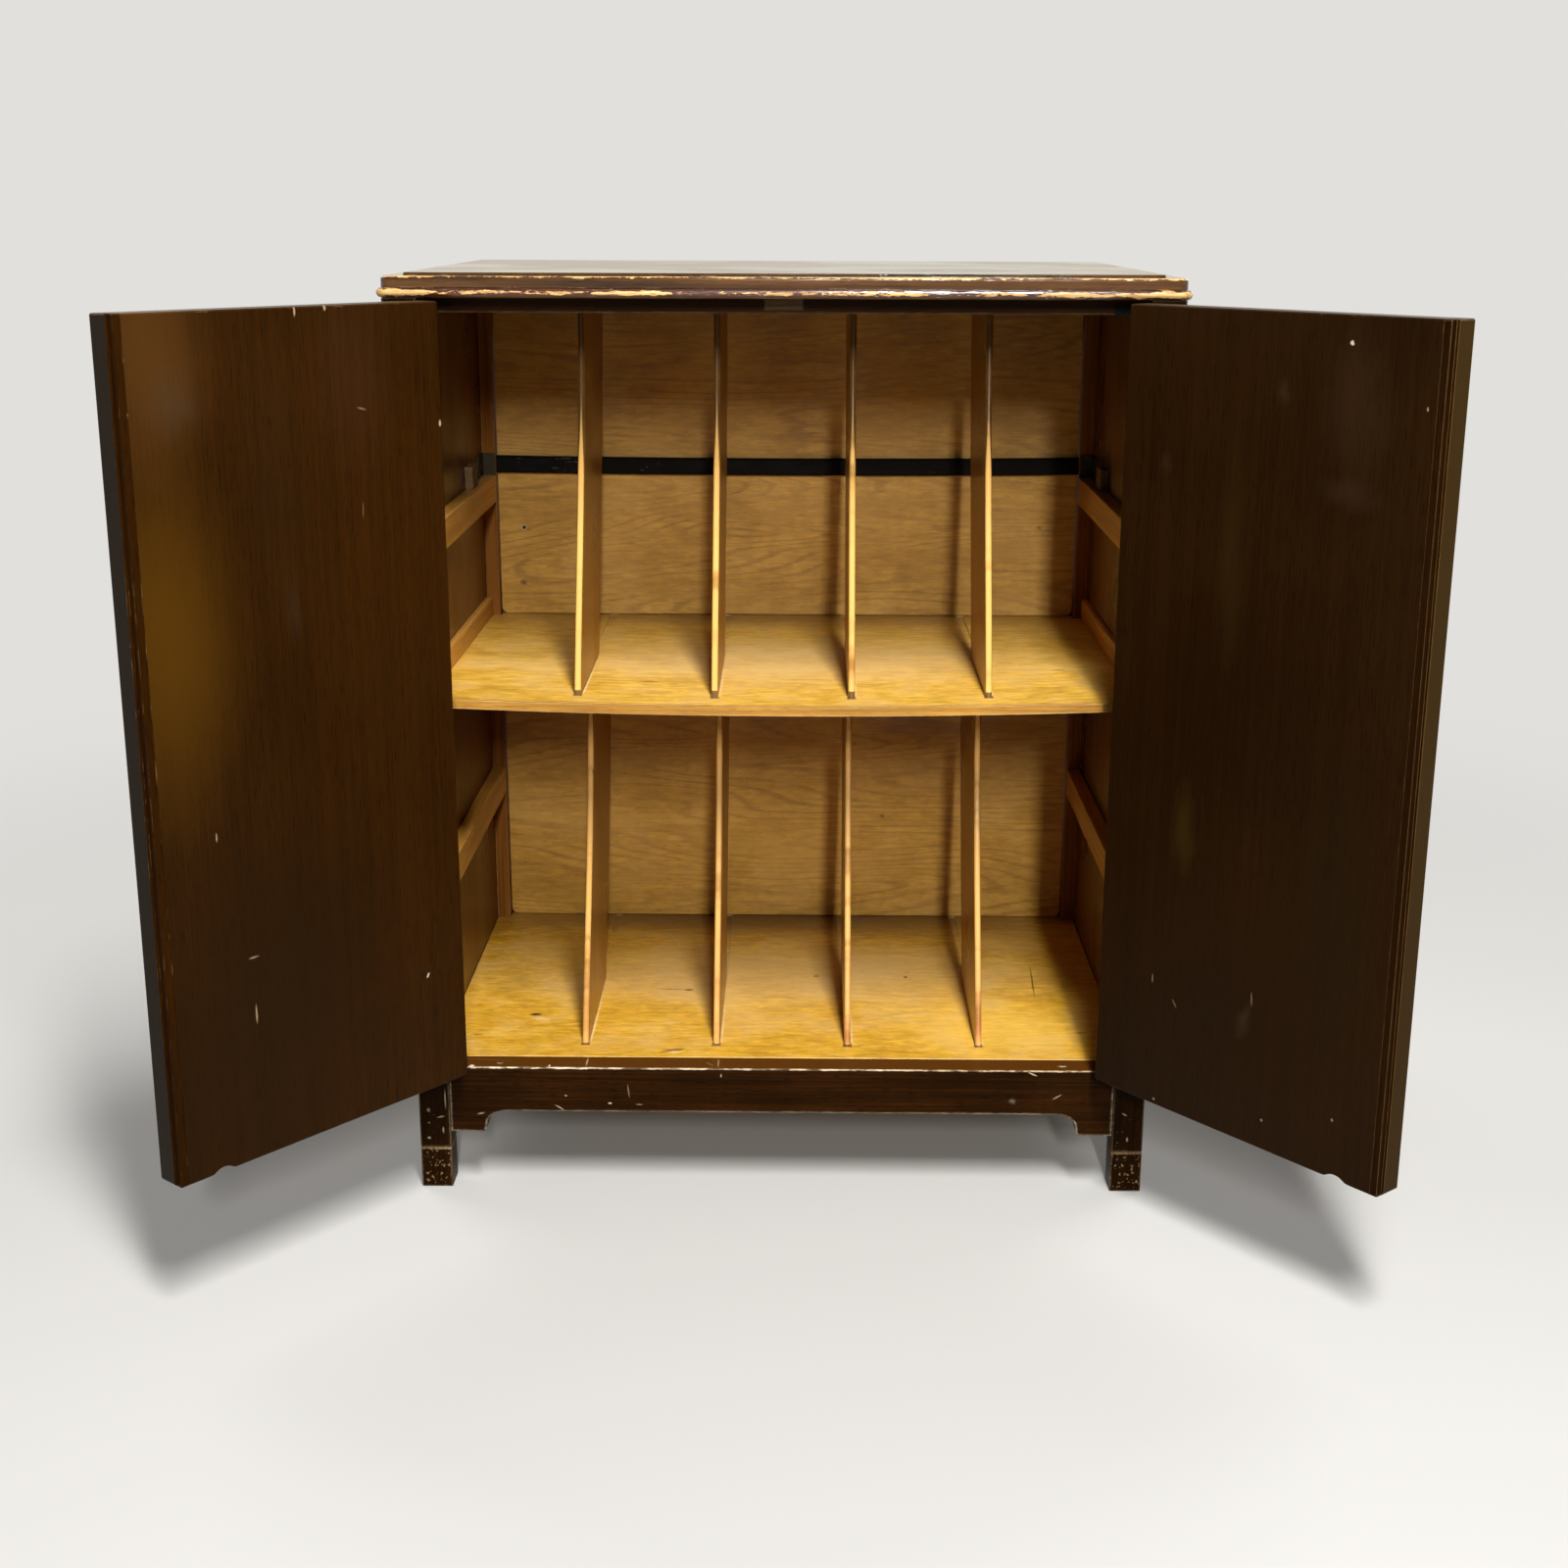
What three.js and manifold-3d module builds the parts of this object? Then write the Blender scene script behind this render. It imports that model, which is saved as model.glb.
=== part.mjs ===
// Record cabinet: a low cupboard on square legs, with a moulded top, one shelf,
// eight upright dividers and two flat doors that are hung between the front posts.
// Units are millimetres. X runs to the right, Y to the back and Z up.
import * as THREE from "three";
import { mergeVertices } from "three/addons/utils/BufferGeometryUtils.js";
import Module from "manifold-3d";

const wasm = await Module();
wasm.setup();

// Case
const overallHeight = 813;
const caseWidth = 656;
const caseDepth = 440;
const postSize = 28;
const footHeight = 38.9;
const footGrooveHeight = 2.6;
const footGrooveDepth = 1.2;

// Shared clearances
const seat = 0.3; // hairline left between pieces that are glued or seated
const ease = 0.8; // chamfer along the edges of the boards
const fineEase = 0.4; // chamfer on thin and small pieces
const weldDistance = 0.001; // corners nearer than this are one corner
const overrun = 6; // how far a cut runs past the face that it opens

// Moulded top
const deckRise = 2.4;
const deckInset = 15.5;
const deckCornerRadius = 3;
const deckRound = 0.7;
const tierHeight = 9.2;
const tierOverhang = 1;
const tierCornerRadius = 9;
const tierRound = 2.6;
const beadHeight = 8;
const beadOverhang = 4.6;
const beadStripWidth = 10;
const topBackOverhang = 3;

// Front apron, floor and rails
const apronThickness = 26;
const apronTop = 118;
const apronHeight = 43;
const bracketDrop = 20.2;
const bracketFlat = 29.5;
const bracketRun = 22;
const bracketShares = { kneeRun: 0.17, kneeRise: 0.36, hollowRun: 0.2, hollowDrop: 0.07 };
const floorThickness = 8;
const sideRailThickness = 20;
const lowerSideRailHeight = 44;
const upperSideRailHeight = 20;
const backRailThickness = 12.7;
const lowerBackRailHeight = 94;
const middleBackRailHeight = 60;
const upperBackRailHeight = 50;
const tenonLength = 12;
const tenonThickness = 6.5;
const tenonShoulder = 6;
const stopRailHeight = 12.8;
const stopRailThickness = 20;
const stopRailSetback = 1.5; // behind the closed doors
const stopBlockWidth = 31;
const stopBlockHeight = 9;
const stopBlockThickness = 4;
const stopBlockProud = 0.8;

// Panels
const sidePanelThickness = 6;
const sidePanelInset = 8;
const panelGroove = 6;
const backPanelThickness = 5;
const backPanelSetback = 13; // from the back of the posts to the panel's back
const backPanelCorner = 7;

// Shelf
const shelfTop = 452;
const shelfThickness = 8;
const shelfSag = 6; // at the middle of the front edge
const shelfLippingWidth = 4;
const shelfSteps = 14;
const shelfStripHeight = 20;
const shelfStripThickness = 6;
const shelfStripRound = 3.5;
const shelfStripSetback = 30;
const shelfHousing = 2; // how far the shelf's ends are let into the side panels

// Dividers
const dividersPerBay = 4;
const dividerThickness = 6;
const upperDividerDepth = 172;
const lowerDividerDepth = 180;
const dividerRound = 2.4;
const dividerGrooveDepth = 1.5;
const upperDividerFoot = 58;
const upperDividerHead = 157;
const lowerDividerFoot = 55;
const lowerDividerHead = 166;
const dividerCurveShares = { lowRun: 0.3, lowRise: 0.3, highRun: 0.94, highRise: 0.58 };
const sagAllowance = 0.2; // kept where a straight divider end meets the curved shelf

// Side battens and the buffer strip at the back
const battenHeight = 28;
const upperBattenBottom = 571;
const lowerBattenBottom = 260;
const stripTop = 618;
const stripHeight = 17;
const stripThickness = 7;
const stripSag = 2;
const stripSteps = 12;
const stripRound = 1.5;
const stripPlateDepth = 34;
const stripPlateHeight = 22;
const stripPlateThickness = 1.5;
const stripBlockDepth = 30;
const stripBlockHeight = 21;
const stripBlockThickness = 8;
const stripBlockSetback = 85; // in front of the back posts

// Doors, in the closed place
const doorThickness = 25;
const doorBottomGap = 2;
const doorTopGap = 1.9;
const hingeGap = 1;
const meetingGap = 2;
const doorEase = 1;
const edgeStripWidth = 9;
const rebateWidth = 2.5;
const rebateDepth = 6;
const scoopWidth = 30;
const scoopRise = 4.5;
const scoopPlace = 42; // from the free edge to the middle of the scoop
const doorCornerRadius = 4; // at the foot of the free edge
const doorOpenAngle = THREE.MathUtils.degToRad(130);

// Butt hinges
const leafHeight = 64;
const leafWidth = 18;
const leafThickness = 1.4;
const knuckleRadius = 3;
const knuckleBore = 1.6;
const knuckleGap = 0.4; // between neighbouring knuckles
const knucklesPerHinge = 5;
const pinRadius = 1.25;
const pinTipRadius = 2.3;
const pinTipHeight = 3.4;
const pinTipShares = { radius: 0.6, height: 0.9 };
const hingeInset = 90; // from the door's end to the middle of the hinge
const leafEase = 0.2;

// Facets of each curve
const roundFacets = 3;
const cornerFacets = 5;
const beadFacets = 8;
const bracketFacets = 6;
const dividerFacets = 10;
const turnedFacets = 32;
const knuckleFacets = 18;

// Places that follow from the sizes above
const caseSide = caseWidth / 2;
const openingSide = caseSide - postSize;
const postBack = caseDepth - postSize;
const topUnderside = overallHeight - deckRise - tierHeight - beadHeight;
const postTop = topUnderside - seat;
const beadSide = caseSide + beadOverhang;
const topBack = caseDepth + topBackOverhang;
const floorUnderside = apronTop - floorThickness;
const floorFront = apronThickness + seat;
const backPanelFront = caseDepth - backPanelSetback - backPanelThickness;
const backRailFront = caseDepth - backRailThickness;
const sidePanelOuter = caseSide - sidePanelInset;
const sidePanelInner = sidePanelOuter - sidePanelThickness;
const sideRailInner = caseSide - sideRailThickness;
const shelfFront = doorThickness + stopRailSetback;
const shelfUnderside = shelfTop - shelfThickness;
const doorInnerSide = openingSide - seat;
const bayWidth = (2 * openingSide - dividersPerBay * dividerThickness) / (dividersPerBay + 1);
const dividerSpacing = bayWidth + dividerThickness;
const axisSide = openingSide - hingeGap / 2;
const axisFront = -(knuckleRadius + seat);
const doorWidth = openingSide - hingeGap - meetingGap / 2;
const doorBottom = apronTop + doorBottomGap;
const doorTop = topUnderside - doorTopGap;

// A closed mesh as a solid that can be joined and cut.
function solidOf(geometry) {
  const bare = geometry.index ? geometry.toNonIndexed() : geometry.clone();
  for (const name of Object.keys(bare.attributes)) {
    if (name !== "position") bare.deleteAttribute(name);
  }
  const merged = mergeVertices(bare, weldDistance);
  return new wasm.Manifold(
    new wasm.Mesh({
      numProp: 3,
      vertProperties: merged.attributes.position.array,
      triVerts: new Uint32Array(merged.index.array),
    }),
  );
}

function geometryOf(solid) {
  const mesh = solid.getMesh();
  const places = new Float32Array(mesh.numVert * 3);
  for (let i = 0; i < mesh.numVert; i++) {
    places.set(mesh.vertProperties.subarray(i * mesh.numProp, i * mesh.numProp + 3), i * 3);
  }
  const geometry = new THREE.BufferGeometry();
  geometry.setAttribute("position", new THREE.BufferAttribute(places, 3));
  geometry.setIndex(new THREE.BufferAttribute(new Uint32Array(mesh.triVerts), 1));
  const flat = geometry.toNonIndexed();
  flat.computeVertexNormals();
  return flat;
}

const join = (first, ...others) => others.reduce((whole, other) => whole.add(other), first);
const cut = (first, ...others) => others.reduce((whole, other) => whole.subtract(other), first);

// A block between two limits on each axis, used for cuts and tenons.
function block([x0, x1], [y0, y1], [z0, z1]) {
  const geometry = new THREE.BoxGeometry(x1 - x0, y1 - y0, z1 - z0);
  geometry.translate((x0 + x1) / 2, (y0 + y1) / 2, (z0 + z1) / 2);
  return solidOf(geometry);
}

// A sawn board between two limits on each axis, with every edge eased.
function board([x0, x1], [y0, y1], [z0, z1], chamfer = ease) {
  const across = (x1 - x0) / 2;
  const deep = (y1 - y0) / 2;
  const outline = new THREE.Shape([
    new THREE.Vector2(chamfer - across, -deep),
    new THREE.Vector2(across - chamfer, -deep),
    new THREE.Vector2(across, chamfer - deep),
    new THREE.Vector2(across, deep - chamfer),
    new THREE.Vector2(across - chamfer, deep),
    new THREE.Vector2(chamfer - across, deep),
    new THREE.Vector2(-across, deep - chamfer),
    new THREE.Vector2(-across, chamfer - deep),
  ]);
  const geometry = new THREE.ExtrudeGeometry(outline, {
    depth: z1 - z0 - 2 * chamfer,
    bevelSize: chamfer,
    bevelThickness: chamfer,
    bevelOffset: -chamfer,
    bevelSegments: 1,
  });
  geometry.translate((x0 + x1) / 2, (y0 + y1) / 2, z0 + chamfer);
  return solidOf(geometry);
}

// An outline drawn in Y and Z, given its thickness along X about a middle plane.
function uprightPlate(outline, middle, thickness, round = 0) {
  const geometry = new THREE.ExtrudeGeometry(outline, {
    depth: thickness - 2 * round,
    bevelEnabled: round > 0,
    bevelSize: round,
    bevelThickness: round,
    bevelOffset: -round,
    bevelSegments: roundFacets,
    curveSegments: dividerFacets,
  });
  geometry.translate(0, 0, round - thickness / 2);
  geometry.applyMatrix4(new THREE.Matrix4().makeBasis(
    new THREE.Vector3(0, 1, 0),
    new THREE.Vector3(0, 0, 1),
    new THREE.Vector3(1, 0, 0),
  ));
  geometry.translate(middle, 0, 0);
  return solidOf(geometry);
}

// An outline drawn in X and Z, given its thickness along Y from a front plane.
function facingPlate(outline, front, thickness, chamfer = 0) {
  const geometry = new THREE.ExtrudeGeometry(outline, {
    depth: thickness - 2 * chamfer,
    bevelEnabled: chamfer > 0,
    bevelSize: chamfer,
    bevelThickness: chamfer,
    bevelOffset: -chamfer,
    bevelSegments: 1,
    curveSegments: bracketFacets,
  });
  geometry.translate(0, 0, chamfer);
  geometry.rotateX(Math.PI / 2);
  geometry.translate(0, front + thickness, 0);
  return solidOf(geometry);
}

// An outline drawn in X and Y, raised from one height to another.
function raised(outline, [z0, z1], round = 0) {
  const geometry = new THREE.ExtrudeGeometry(outline, {
    depth: z1 - z0 - 2 * round,
    bevelEnabled: round > 0,
    bevelSize: round,
    bevelThickness: round,
    bevelOffset: -round,
    bevelSegments: roundFacets,
    curveSegments: cornerFacets,
  });
  geometry.translate(0, 0, z0 + round);
  return solidOf(geometry);
}

// The same piece for the other side of the cabinet.
function mirrored(solid) {
  const geometry = geometryOf(solid);
  geometry.scale(-1, 1, 1);
  const places = geometry.attributes.position;
  for (let i = 0; i < places.count; i += 3) {
    const second = new THREE.Vector3().fromBufferAttribute(places, i + 1);
    const third = new THREE.Vector3().fromBufferAttribute(places, i + 2);
    places.setXYZ(i + 1, third.x, third.y, third.z);
    places.setXYZ(i + 2, second.x, second.y, second.z);
  }
  geometry.deleteAttribute("normal");
  return solidOf(geometry);
}

// A rectangle in X and Y whose two front corners are rounded.
function roundedPlan(side, front, back, radius) {
  const outline = new THREE.Shape();
  outline.moveTo(-side, back);
  outline.lineTo(-side, front + radius);
  outline.absarc(radius - side, front + radius, radius, Math.PI, 1.5 * Math.PI);
  outline.lineTo(side - radius, front);
  outline.absarc(side - radius, front + radius, radius, 1.5 * Math.PI, 2 * Math.PI);
  outline.lineTo(side, back);
  outline.closePath();
  return outline;
}

// Height that the loaded shelf has lost at a place, in proportion to its sag.
function sagShare(x, y) {
  const across = Math.min(1, Math.abs(x) / openingSide);
  const along = (backPanelFront - y) / (backPanelFront - shelfFront);
  return (1 - across * across) * THREE.MathUtils.clamp(along, 0, 1);
}

const shelfHeightAt = (x, y) => shelfTop - shelfSag * sagShare(x, y);

// A board whose faces follow the shelf's sag.
function saggedBoard([x0, x1], [y0, y1], [z0, z1]) {
  const geometry = new THREE.BoxGeometry(x1 - x0, y1 - y0, z1 - z0, shelfSteps, 1, 1);
  geometry.translate((x0 + x1) / 2, (y0 + y1) / 2, (z0 + z1) / 2);
  const places = geometry.attributes.position;
  for (let i = 0; i < places.count; i++) {
    const drop = shelfSag * sagShare(places.getX(i), places.getY(i));
    places.setZ(i, places.getZ(i) - drop);
  }
  return solidOf(geometry);
}

// Top
function topBoard() {
  const tierSide = caseSide + tierOverhang;
  const tierBottom = topUnderside + beadHeight;
  const tierTop = tierBottom + tierHeight;
  const wallTop = tierTop - tierRound;
  const plan = roundedPlan(tierSide, -tierOverhang, topBack, tierCornerRadius);
  const rounded = raised(plan, [tierBottom, tierTop], tierRound);
  const wall = raised(plan, [tierBottom, wallTop]);
  const backSide = tierSide - tierRound;
  const backEdge = block([-backSide, backSide], [topBack - postSize, topBack], [tierBottom, tierTop]);
  const deckPlan = roundedPlan(caseSide - deckInset, deckInset, topBack - ease, deckCornerRadius);
  const deck = raised(deckPlan, [wallTop, overallHeight], deckRound);
  const coreSide = beadSide - beadStripWidth - seat;
  const coreFront = beadStripWidth - beadOverhang + seat;
  const core = block([-coreSide, coreSide], [coreFront, topBack], [topUnderside, wallTop]);
  return join(rounded, wall, backEdge, core, deck);
}

// A straight strip of the bead. Its section runs outwards and upwards.
function beadStrip(section, length, outwards, along, start) {
  const geometry = new THREE.ExtrudeGeometry(section, {
    depth: length,
    bevelEnabled: false,
    curveSegments: beadFacets,
  });
  geometry.applyMatrix4(new THREE.Matrix4().makeBasis(outwards, new THREE.Vector3(0, 0, 1), along));
  geometry.translate(...start);
  return solidOf(geometry);
}

// The half-round bead on three sides of the top, before it is mitred.
function beadRing() {
  const nose = beadHeight / 2;
  const middle = topUnderside + nose;
  const inner = beadSide - beadStripWidth;
  const innerFront = beadStripWidth - beadOverhang;
  const section = new THREE.Shape();
  section.moveTo(0, -nose);
  section.lineTo(beadStripWidth - nose, -nose);
  section.absarc(beadStripWidth - nose, 0, nose, -Math.PI / 2, Math.PI / 2);
  section.lineTo(0, nose);
  section.closePath();
  const toFront = new THREE.Vector3(0, -1, 0);
  const toRight = new THREE.Vector3(1, 0, 0);
  const toLeft = new THREE.Vector3(-1, 0, 0);
  const reach = inner + seat;
  const front = beadStrip(section, 2 * reach, toFront, toLeft, [reach, innerFront, middle]);
  const right = beadStrip(section, topBack - innerFront + seat, toRight, toFront, [inner, topBack, middle]);
  const profile = [new THREE.Vector2(0, -nose)];
  for (const point of section.getPoints(beadFacets)) {
    if (point.x > 0) profile.push(point);
  }
  profile.push(new THREE.Vector2(0, nose));
  const turned = new THREE.LatheGeometry(profile, turnedFacets);
  turned.rotateX(Math.PI / 2);
  turned.translate(inner, innerFront, middle);
  const outside = beadSide + overrun;
  const outerFront = -beadOverhang - overrun;
  const quadrant = block([inner, outside], [outerFront, innerFront], [middle - nose, middle + nose]);
  const corner = solidOf(turned).intersect(quadrant);
  return join(front, right, mirrored(right), corner, mirrored(corner));
}

// How far a mitre's line runs, from outside the bead to inside it.
const mitreReach = beadStripWidth + 2 * overrun;

// The region of one strip of the bead, to its mitres, as an upright wedge.
function mitreWedge(points) {
  const outline = new THREE.Shape(points.map(([x, y]) => new THREE.Vector2(x, y)));
  return raised(outline, [topUnderside - overrun, topUnderside + beadHeight - seat]);
}

function frontBead() {
  const outer = beadSide + overrun;
  const outerFront = -beadOverhang - overrun;
  const inner = outer - mitreReach;
  const innerFront = outerFront + mitreReach;
  return beadRing().intersect(mitreWedge([
    [-outer, outerFront],
    [outer, outerFront],
    [inner, innerFront],
    [-inner, innerFront],
  ]));
}

function leftBead() {
  const outer = -beadSide - overrun;
  const outerFront = -beadOverhang - overrun + 2 * seat;
  const inner = outer + mitreReach;
  return beadRing().intersect(mitreWedge([
    [outer, outerFront],
    [inner, outerFront + mitreReach],
    [inner, topBack + overrun],
    [outer, topBack + overrun],
  ]));
}

// Posts
function postBlank() {
  const outline = new THREE.Shape();
  const half = postSize / 2;
  const grooveLow = footHeight - footGrooveHeight / 2;
  const grooveHigh = footHeight + footGrooveHeight / 2;
  outline.moveTo(ease - half, 0);
  outline.lineTo(half - ease, 0);
  outline.lineTo(half, ease);
  outline.lineTo(half, grooveLow);
  outline.lineTo(half - footGrooveDepth, footHeight);
  outline.lineTo(half, grooveHigh);
  outline.lineTo(half, postTop);
  outline.lineTo(-half, postTop);
  outline.lineTo(-half, grooveHigh);
  outline.lineTo(footGrooveDepth - half, footHeight);
  outline.lineTo(-half, grooveLow);
  outline.lineTo(-half, ease);
  outline.closePath();
  const across = facingPlate(outline, -half - overrun, postSize + 2 * overrun);
  const along = uprightPlate(outline, 0, postSize + 2 * overrun);
  const eased = board([-half, half], [-half, half], [-overrun, postTop + overrun]);
  return across.intersect(along).intersect(eased);
}

// Cuts that a left post needs for the side rails and the side panel. The side
// rails meet the face towards the middle of the side.
function sideJointCuts(post) {
  const inward = post === "front" ? 1 : -1;
  const face = post === "front" ? postSize : postBack;
  const middle = caseSide - sideRailThickness / 2;
  const cuts = [];
  for (const rail of [lowerSideRailHeights(), upperSideRailHeights()]) {
    cuts.push(mortise("y", middle, face, -inward, rail));
  }
  const groove = [face - inward * (panelGroove + seat), face + inward * overrun].sort((a, b) => a - b);
  const [low, high] = sidePanelHeights();
  cuts.push(block([-sidePanelOuter - seat, seat - sidePanelInner], groove, [low - seat, high + seat]));
  return cuts;
}

// A blind hole for a tenon, on the left side of the cabinet.
function mortise(direction, middle, face, inward, [low, high]) {
  const half = tenonThickness / 2 + seat;
  const along = [face + inward * (tenonLength + seat), face - inward * overrun].sort((a, b) => a - b);
  const heights = [low + tenonShoulder - seat, high - tenonShoulder + seat];
  if (direction === "y") return block([-middle - half, half - middle], along, heights);
  return block(along, [middle - half, middle + half], heights);
}

function frontPost() {
  const post = postBlank().translate([postSize / 2 - caseSide, postSize / 2, 0]);
  const apronHeights = [apronTop - apronHeight, apronTop];
  const apronMortise = mortise("x", apronThickness / 2, -openingSide, -1, apronHeights);
  const recesses = leafRecesses([-openingSide - leafThickness - seat, overrun - openingSide], 0);
  return cut(post, ...sideJointCuts("front"), apronMortise, ...recesses);
}

function backPost() {
  const post = postBlank().translate([postSize / 2 - caseSide, caseDepth - postSize / 2, 0]);
  const middle = caseDepth - backRailThickness / 2;
  const mortises = backRailHeights().map((heights) => mortise("x", middle, -openingSide, -1, heights));
  return cut(post, ...sideJointCuts("back"), ...mortises);
}

// Heights of the rails and the side panel
const lowerSideRailHeights = () => [floorUnderside - seat - lowerSideRailHeight, floorUnderside - seat];
const upperSideRailHeights = () => [postTop - upperSideRailHeight, postTop];
const sidePanelHeights = () => [
  lowerSideRailHeights()[1] - panelGroove + seat,
  upperSideRailHeights()[0] + panelGroove - seat,
];
const backRailHeights = () => {
  const [low] = lowerSideRailHeights();
  const middle = (shelfTop + shelfUnderside) / 2;
  return [
    [low, low + lowerBackRailHeight],
    [middle - middleBackRailHeight / 2, middle + middleBackRailHeight / 2],
    [postTop - upperBackRailHeight, postTop],
  ];
};

// A rail with a stub tenon at each end, running along X or along Y.
function rail(direction, ends, across, heights) {
  const [low, high] = heights;
  const tenonHeights = [low + tenonShoulder, high - tenonShoulder];
  const middle = (across[0] + across[1]) / 2;
  const tenonAcross = [middle - tenonThickness / 2, middle + tenonThickness / 2];
  const tenonEnds = [ends[0] - tenonLength, ends[1] + tenonLength];
  if (direction === "x") {
    return join(board(ends, across, heights), block(tenonEnds, tenonAcross, tenonHeights));
  }
  return join(board(across, ends, heights), block(tenonAcross, tenonEnds, tenonHeights));
}

const sideRailEnds = [postSize + seat, postBack - seat];

function lowerSideRail() {
  const heights = lowerSideRailHeights();
  const groove = block(
    [-sidePanelOuter - seat, seat - sidePanelInner],
    [postSize - overrun, postBack + overrun],
    [heights[1] - panelGroove, heights[1] + overrun],
  );
  return cut(rail("y", sideRailEnds, [-caseSide, -sideRailInner], heights), groove);
}

function upperSideRail() {
  const heights = upperSideRailHeights();
  const groove = block(
    [-sidePanelOuter - seat, seat - sidePanelInner],
    [postSize - overrun, postBack + overrun],
    [heights[0] - overrun, heights[0] + panelGroove],
  );
  return cut(rail("y", sideRailEnds, [-caseSide, -sideRailInner], heights), groove);
}

function backRail(heights) {
  return rail("x", [seat - openingSide, openingSide - seat], [backRailFront, caseDepth], heights);
}

function sidePanel() {
  const [low, high] = sidePanelHeights();
  const front = postSize - panelGroove;
  const back = postBack + panelGroove;
  const panel = board([-sidePanelOuter, -sidePanelInner], [front, back], [low, high], fineEase);
  const housing = block(
    [-sidePanelInner - shelfHousing, overrun - sidePanelInner],
    [postSize, postBack],
    [shelfUnderside - seat, shelfTop + seat],
  );
  return cut(panel, housing);
}

// The apron's lower edge drops to a shaped bracket beside each post.
function apron() {
  const side = openingSide - seat;
  const bottom = apronTop - apronHeight;
  const low = bottom - bracketDrop;
  const flat = openingSide - bracketFlat;
  const inner = flat - bracketRun;
  const { kneeRun, kneeRise, hollowRun, hollowDrop } = bracketShares;
  const knee = [flat - bracketRun * kneeRun, low + bracketDrop * kneeRise];
  const hollow = [flat - bracketRun * hollowRun, bottom - bracketDrop * hollowDrop];
  const outline = new THREE.Shape();
  outline.moveTo(-side, apronTop);
  outline.lineTo(-side, low);
  outline.lineTo(-flat, low);
  outline.quadraticCurveTo(-knee[0], low, -knee[0], knee[1]);
  outline.quadraticCurveTo(-hollow[0], hollow[1], -inner, bottom);
  outline.lineTo(inner, bottom);
  outline.quadraticCurveTo(hollow[0], hollow[1], knee[0], knee[1]);
  outline.quadraticCurveTo(knee[0], low, flat, low);
  outline.lineTo(side, low);
  outline.lineTo(side, apronTop);
  outline.closePath();
  const middle = apronThickness / 2;
  const tenon = block(
    [-side - tenonLength, side + tenonLength],
    [middle - tenonThickness / 2, middle + tenonThickness / 2],
    [bottom + tenonShoulder, apronTop - tenonShoulder],
  );
  return join(facingPlate(outline, 0, apronThickness, ease), tenon);
}

// Notches that let a board pass the back posts and, where front is given, the
// front ones too.
function postNotches(side, [low, high], front) {
  const notches = [];
  for (const way of [-1, 1]) {
    const across = [way * (openingSide - seat), way * (side + overrun)].sort((a, b) => a - b);
    const heights = [low - overrun, high + overrun];
    notches.push(block(across, [postBack - seat, caseDepth], heights));
    if (front !== undefined) notches.push(block(across, [front - overrun, postSize + seat], heights));
  }
  return notches;
}

function floorPanel() {
  const side = sidePanelInner - seat;
  const heights = [floorUnderside, apronTop];
  const panel = board([-side, side], [floorFront, backRailFront - seat], heights);
  const topAt = () => apronTop;
  const grooves = dividerPlaces().map((x) => dividerGroove(x, lowerDividerFoot, topAt, 1));
  return cut(panel, ...postNotches(side, heights, floorFront), ...grooves);
}

// Shelf
function shelfBoard() {
  const side = sidePanelInner + shelfHousing - seat;
  const front = shelfFront + shelfLippingWidth + seat;
  const panel = saggedBoard([-side, side], [front, backRailFront - seat], [shelfUnderside, shelfTop]);
  const grooves = [];
  for (const x of dividerPlaces()) {
    const topAt = (y) => shelfHeightAt(x, y);
    const undersideAt = (y) => topAt(y) - shelfThickness;
    grooves.push(dividerGroove(x, upperDividerFoot, topAt, 1));
    grooves.push(dividerGroove(x, lowerDividerHead, undersideAt, -1));
  }
  return cut(panel, ...postNotches(side, [shelfUnderside, shelfTop]), ...grooves);
}

function shelfLipping() {
  const side = openingSide - seat;
  const depth = [shelfFront, shelfFront + shelfLippingWidth];
  const heights = [shelfUnderside, shelfTop];
  return saggedBoard([-side, side], depth, heights);
}

function shelfStrip() {
  const outline = new THREE.Shape();
  const outer = -(sidePanelInner - seat);
  const inner = outer + shelfStripThickness;
  const low = shelfTop + seat;
  const high = low + shelfStripHeight;
  outline.moveTo(outer, low);
  outline.lineTo(inner, low);
  outline.lineTo(inner, high - shelfStripRound);
  outline.absarc(inner - shelfStripRound, high - shelfStripRound, shelfStripRound, 0, Math.PI / 2);
  outline.lineTo(outer, high);
  outline.closePath();
  const front = postSize + shelfStripSetback;
  return facingPlate(outline, front, postBack - seat - front, fineEase);
}

// Dividers
const dividerPlaces = () => {
  const places = [];
  for (let i = 0; i < dividersPerBay; i++) {
    places.push((i - (dividersPerBay - 1) / 2) * dividerSpacing);
  }
  return places;
};

// A shallow groove that follows a face of the floor or the shelf, from the
// divider's front to the back panel. It is open upwards where way is 1 and
// downwards where way is -1.
function dividerGroove(x, foot, heightAt, way) {
  const front = foot - seat;
  const back = backPanelFront;
  const outline = new THREE.Shape([
    new THREE.Vector2(front, heightAt(front) - way * dividerGrooveDepth),
    new THREE.Vector2(back, heightAt(back) - way * dividerGrooveDepth),
    new THREE.Vector2(back, heightAt(back) + way * overrun),
    new THREE.Vector2(front, heightAt(front) + way * overrun),
  ]);
  return uprightPlate(outline, x, dividerThickness + 2 * seat);
}

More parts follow.
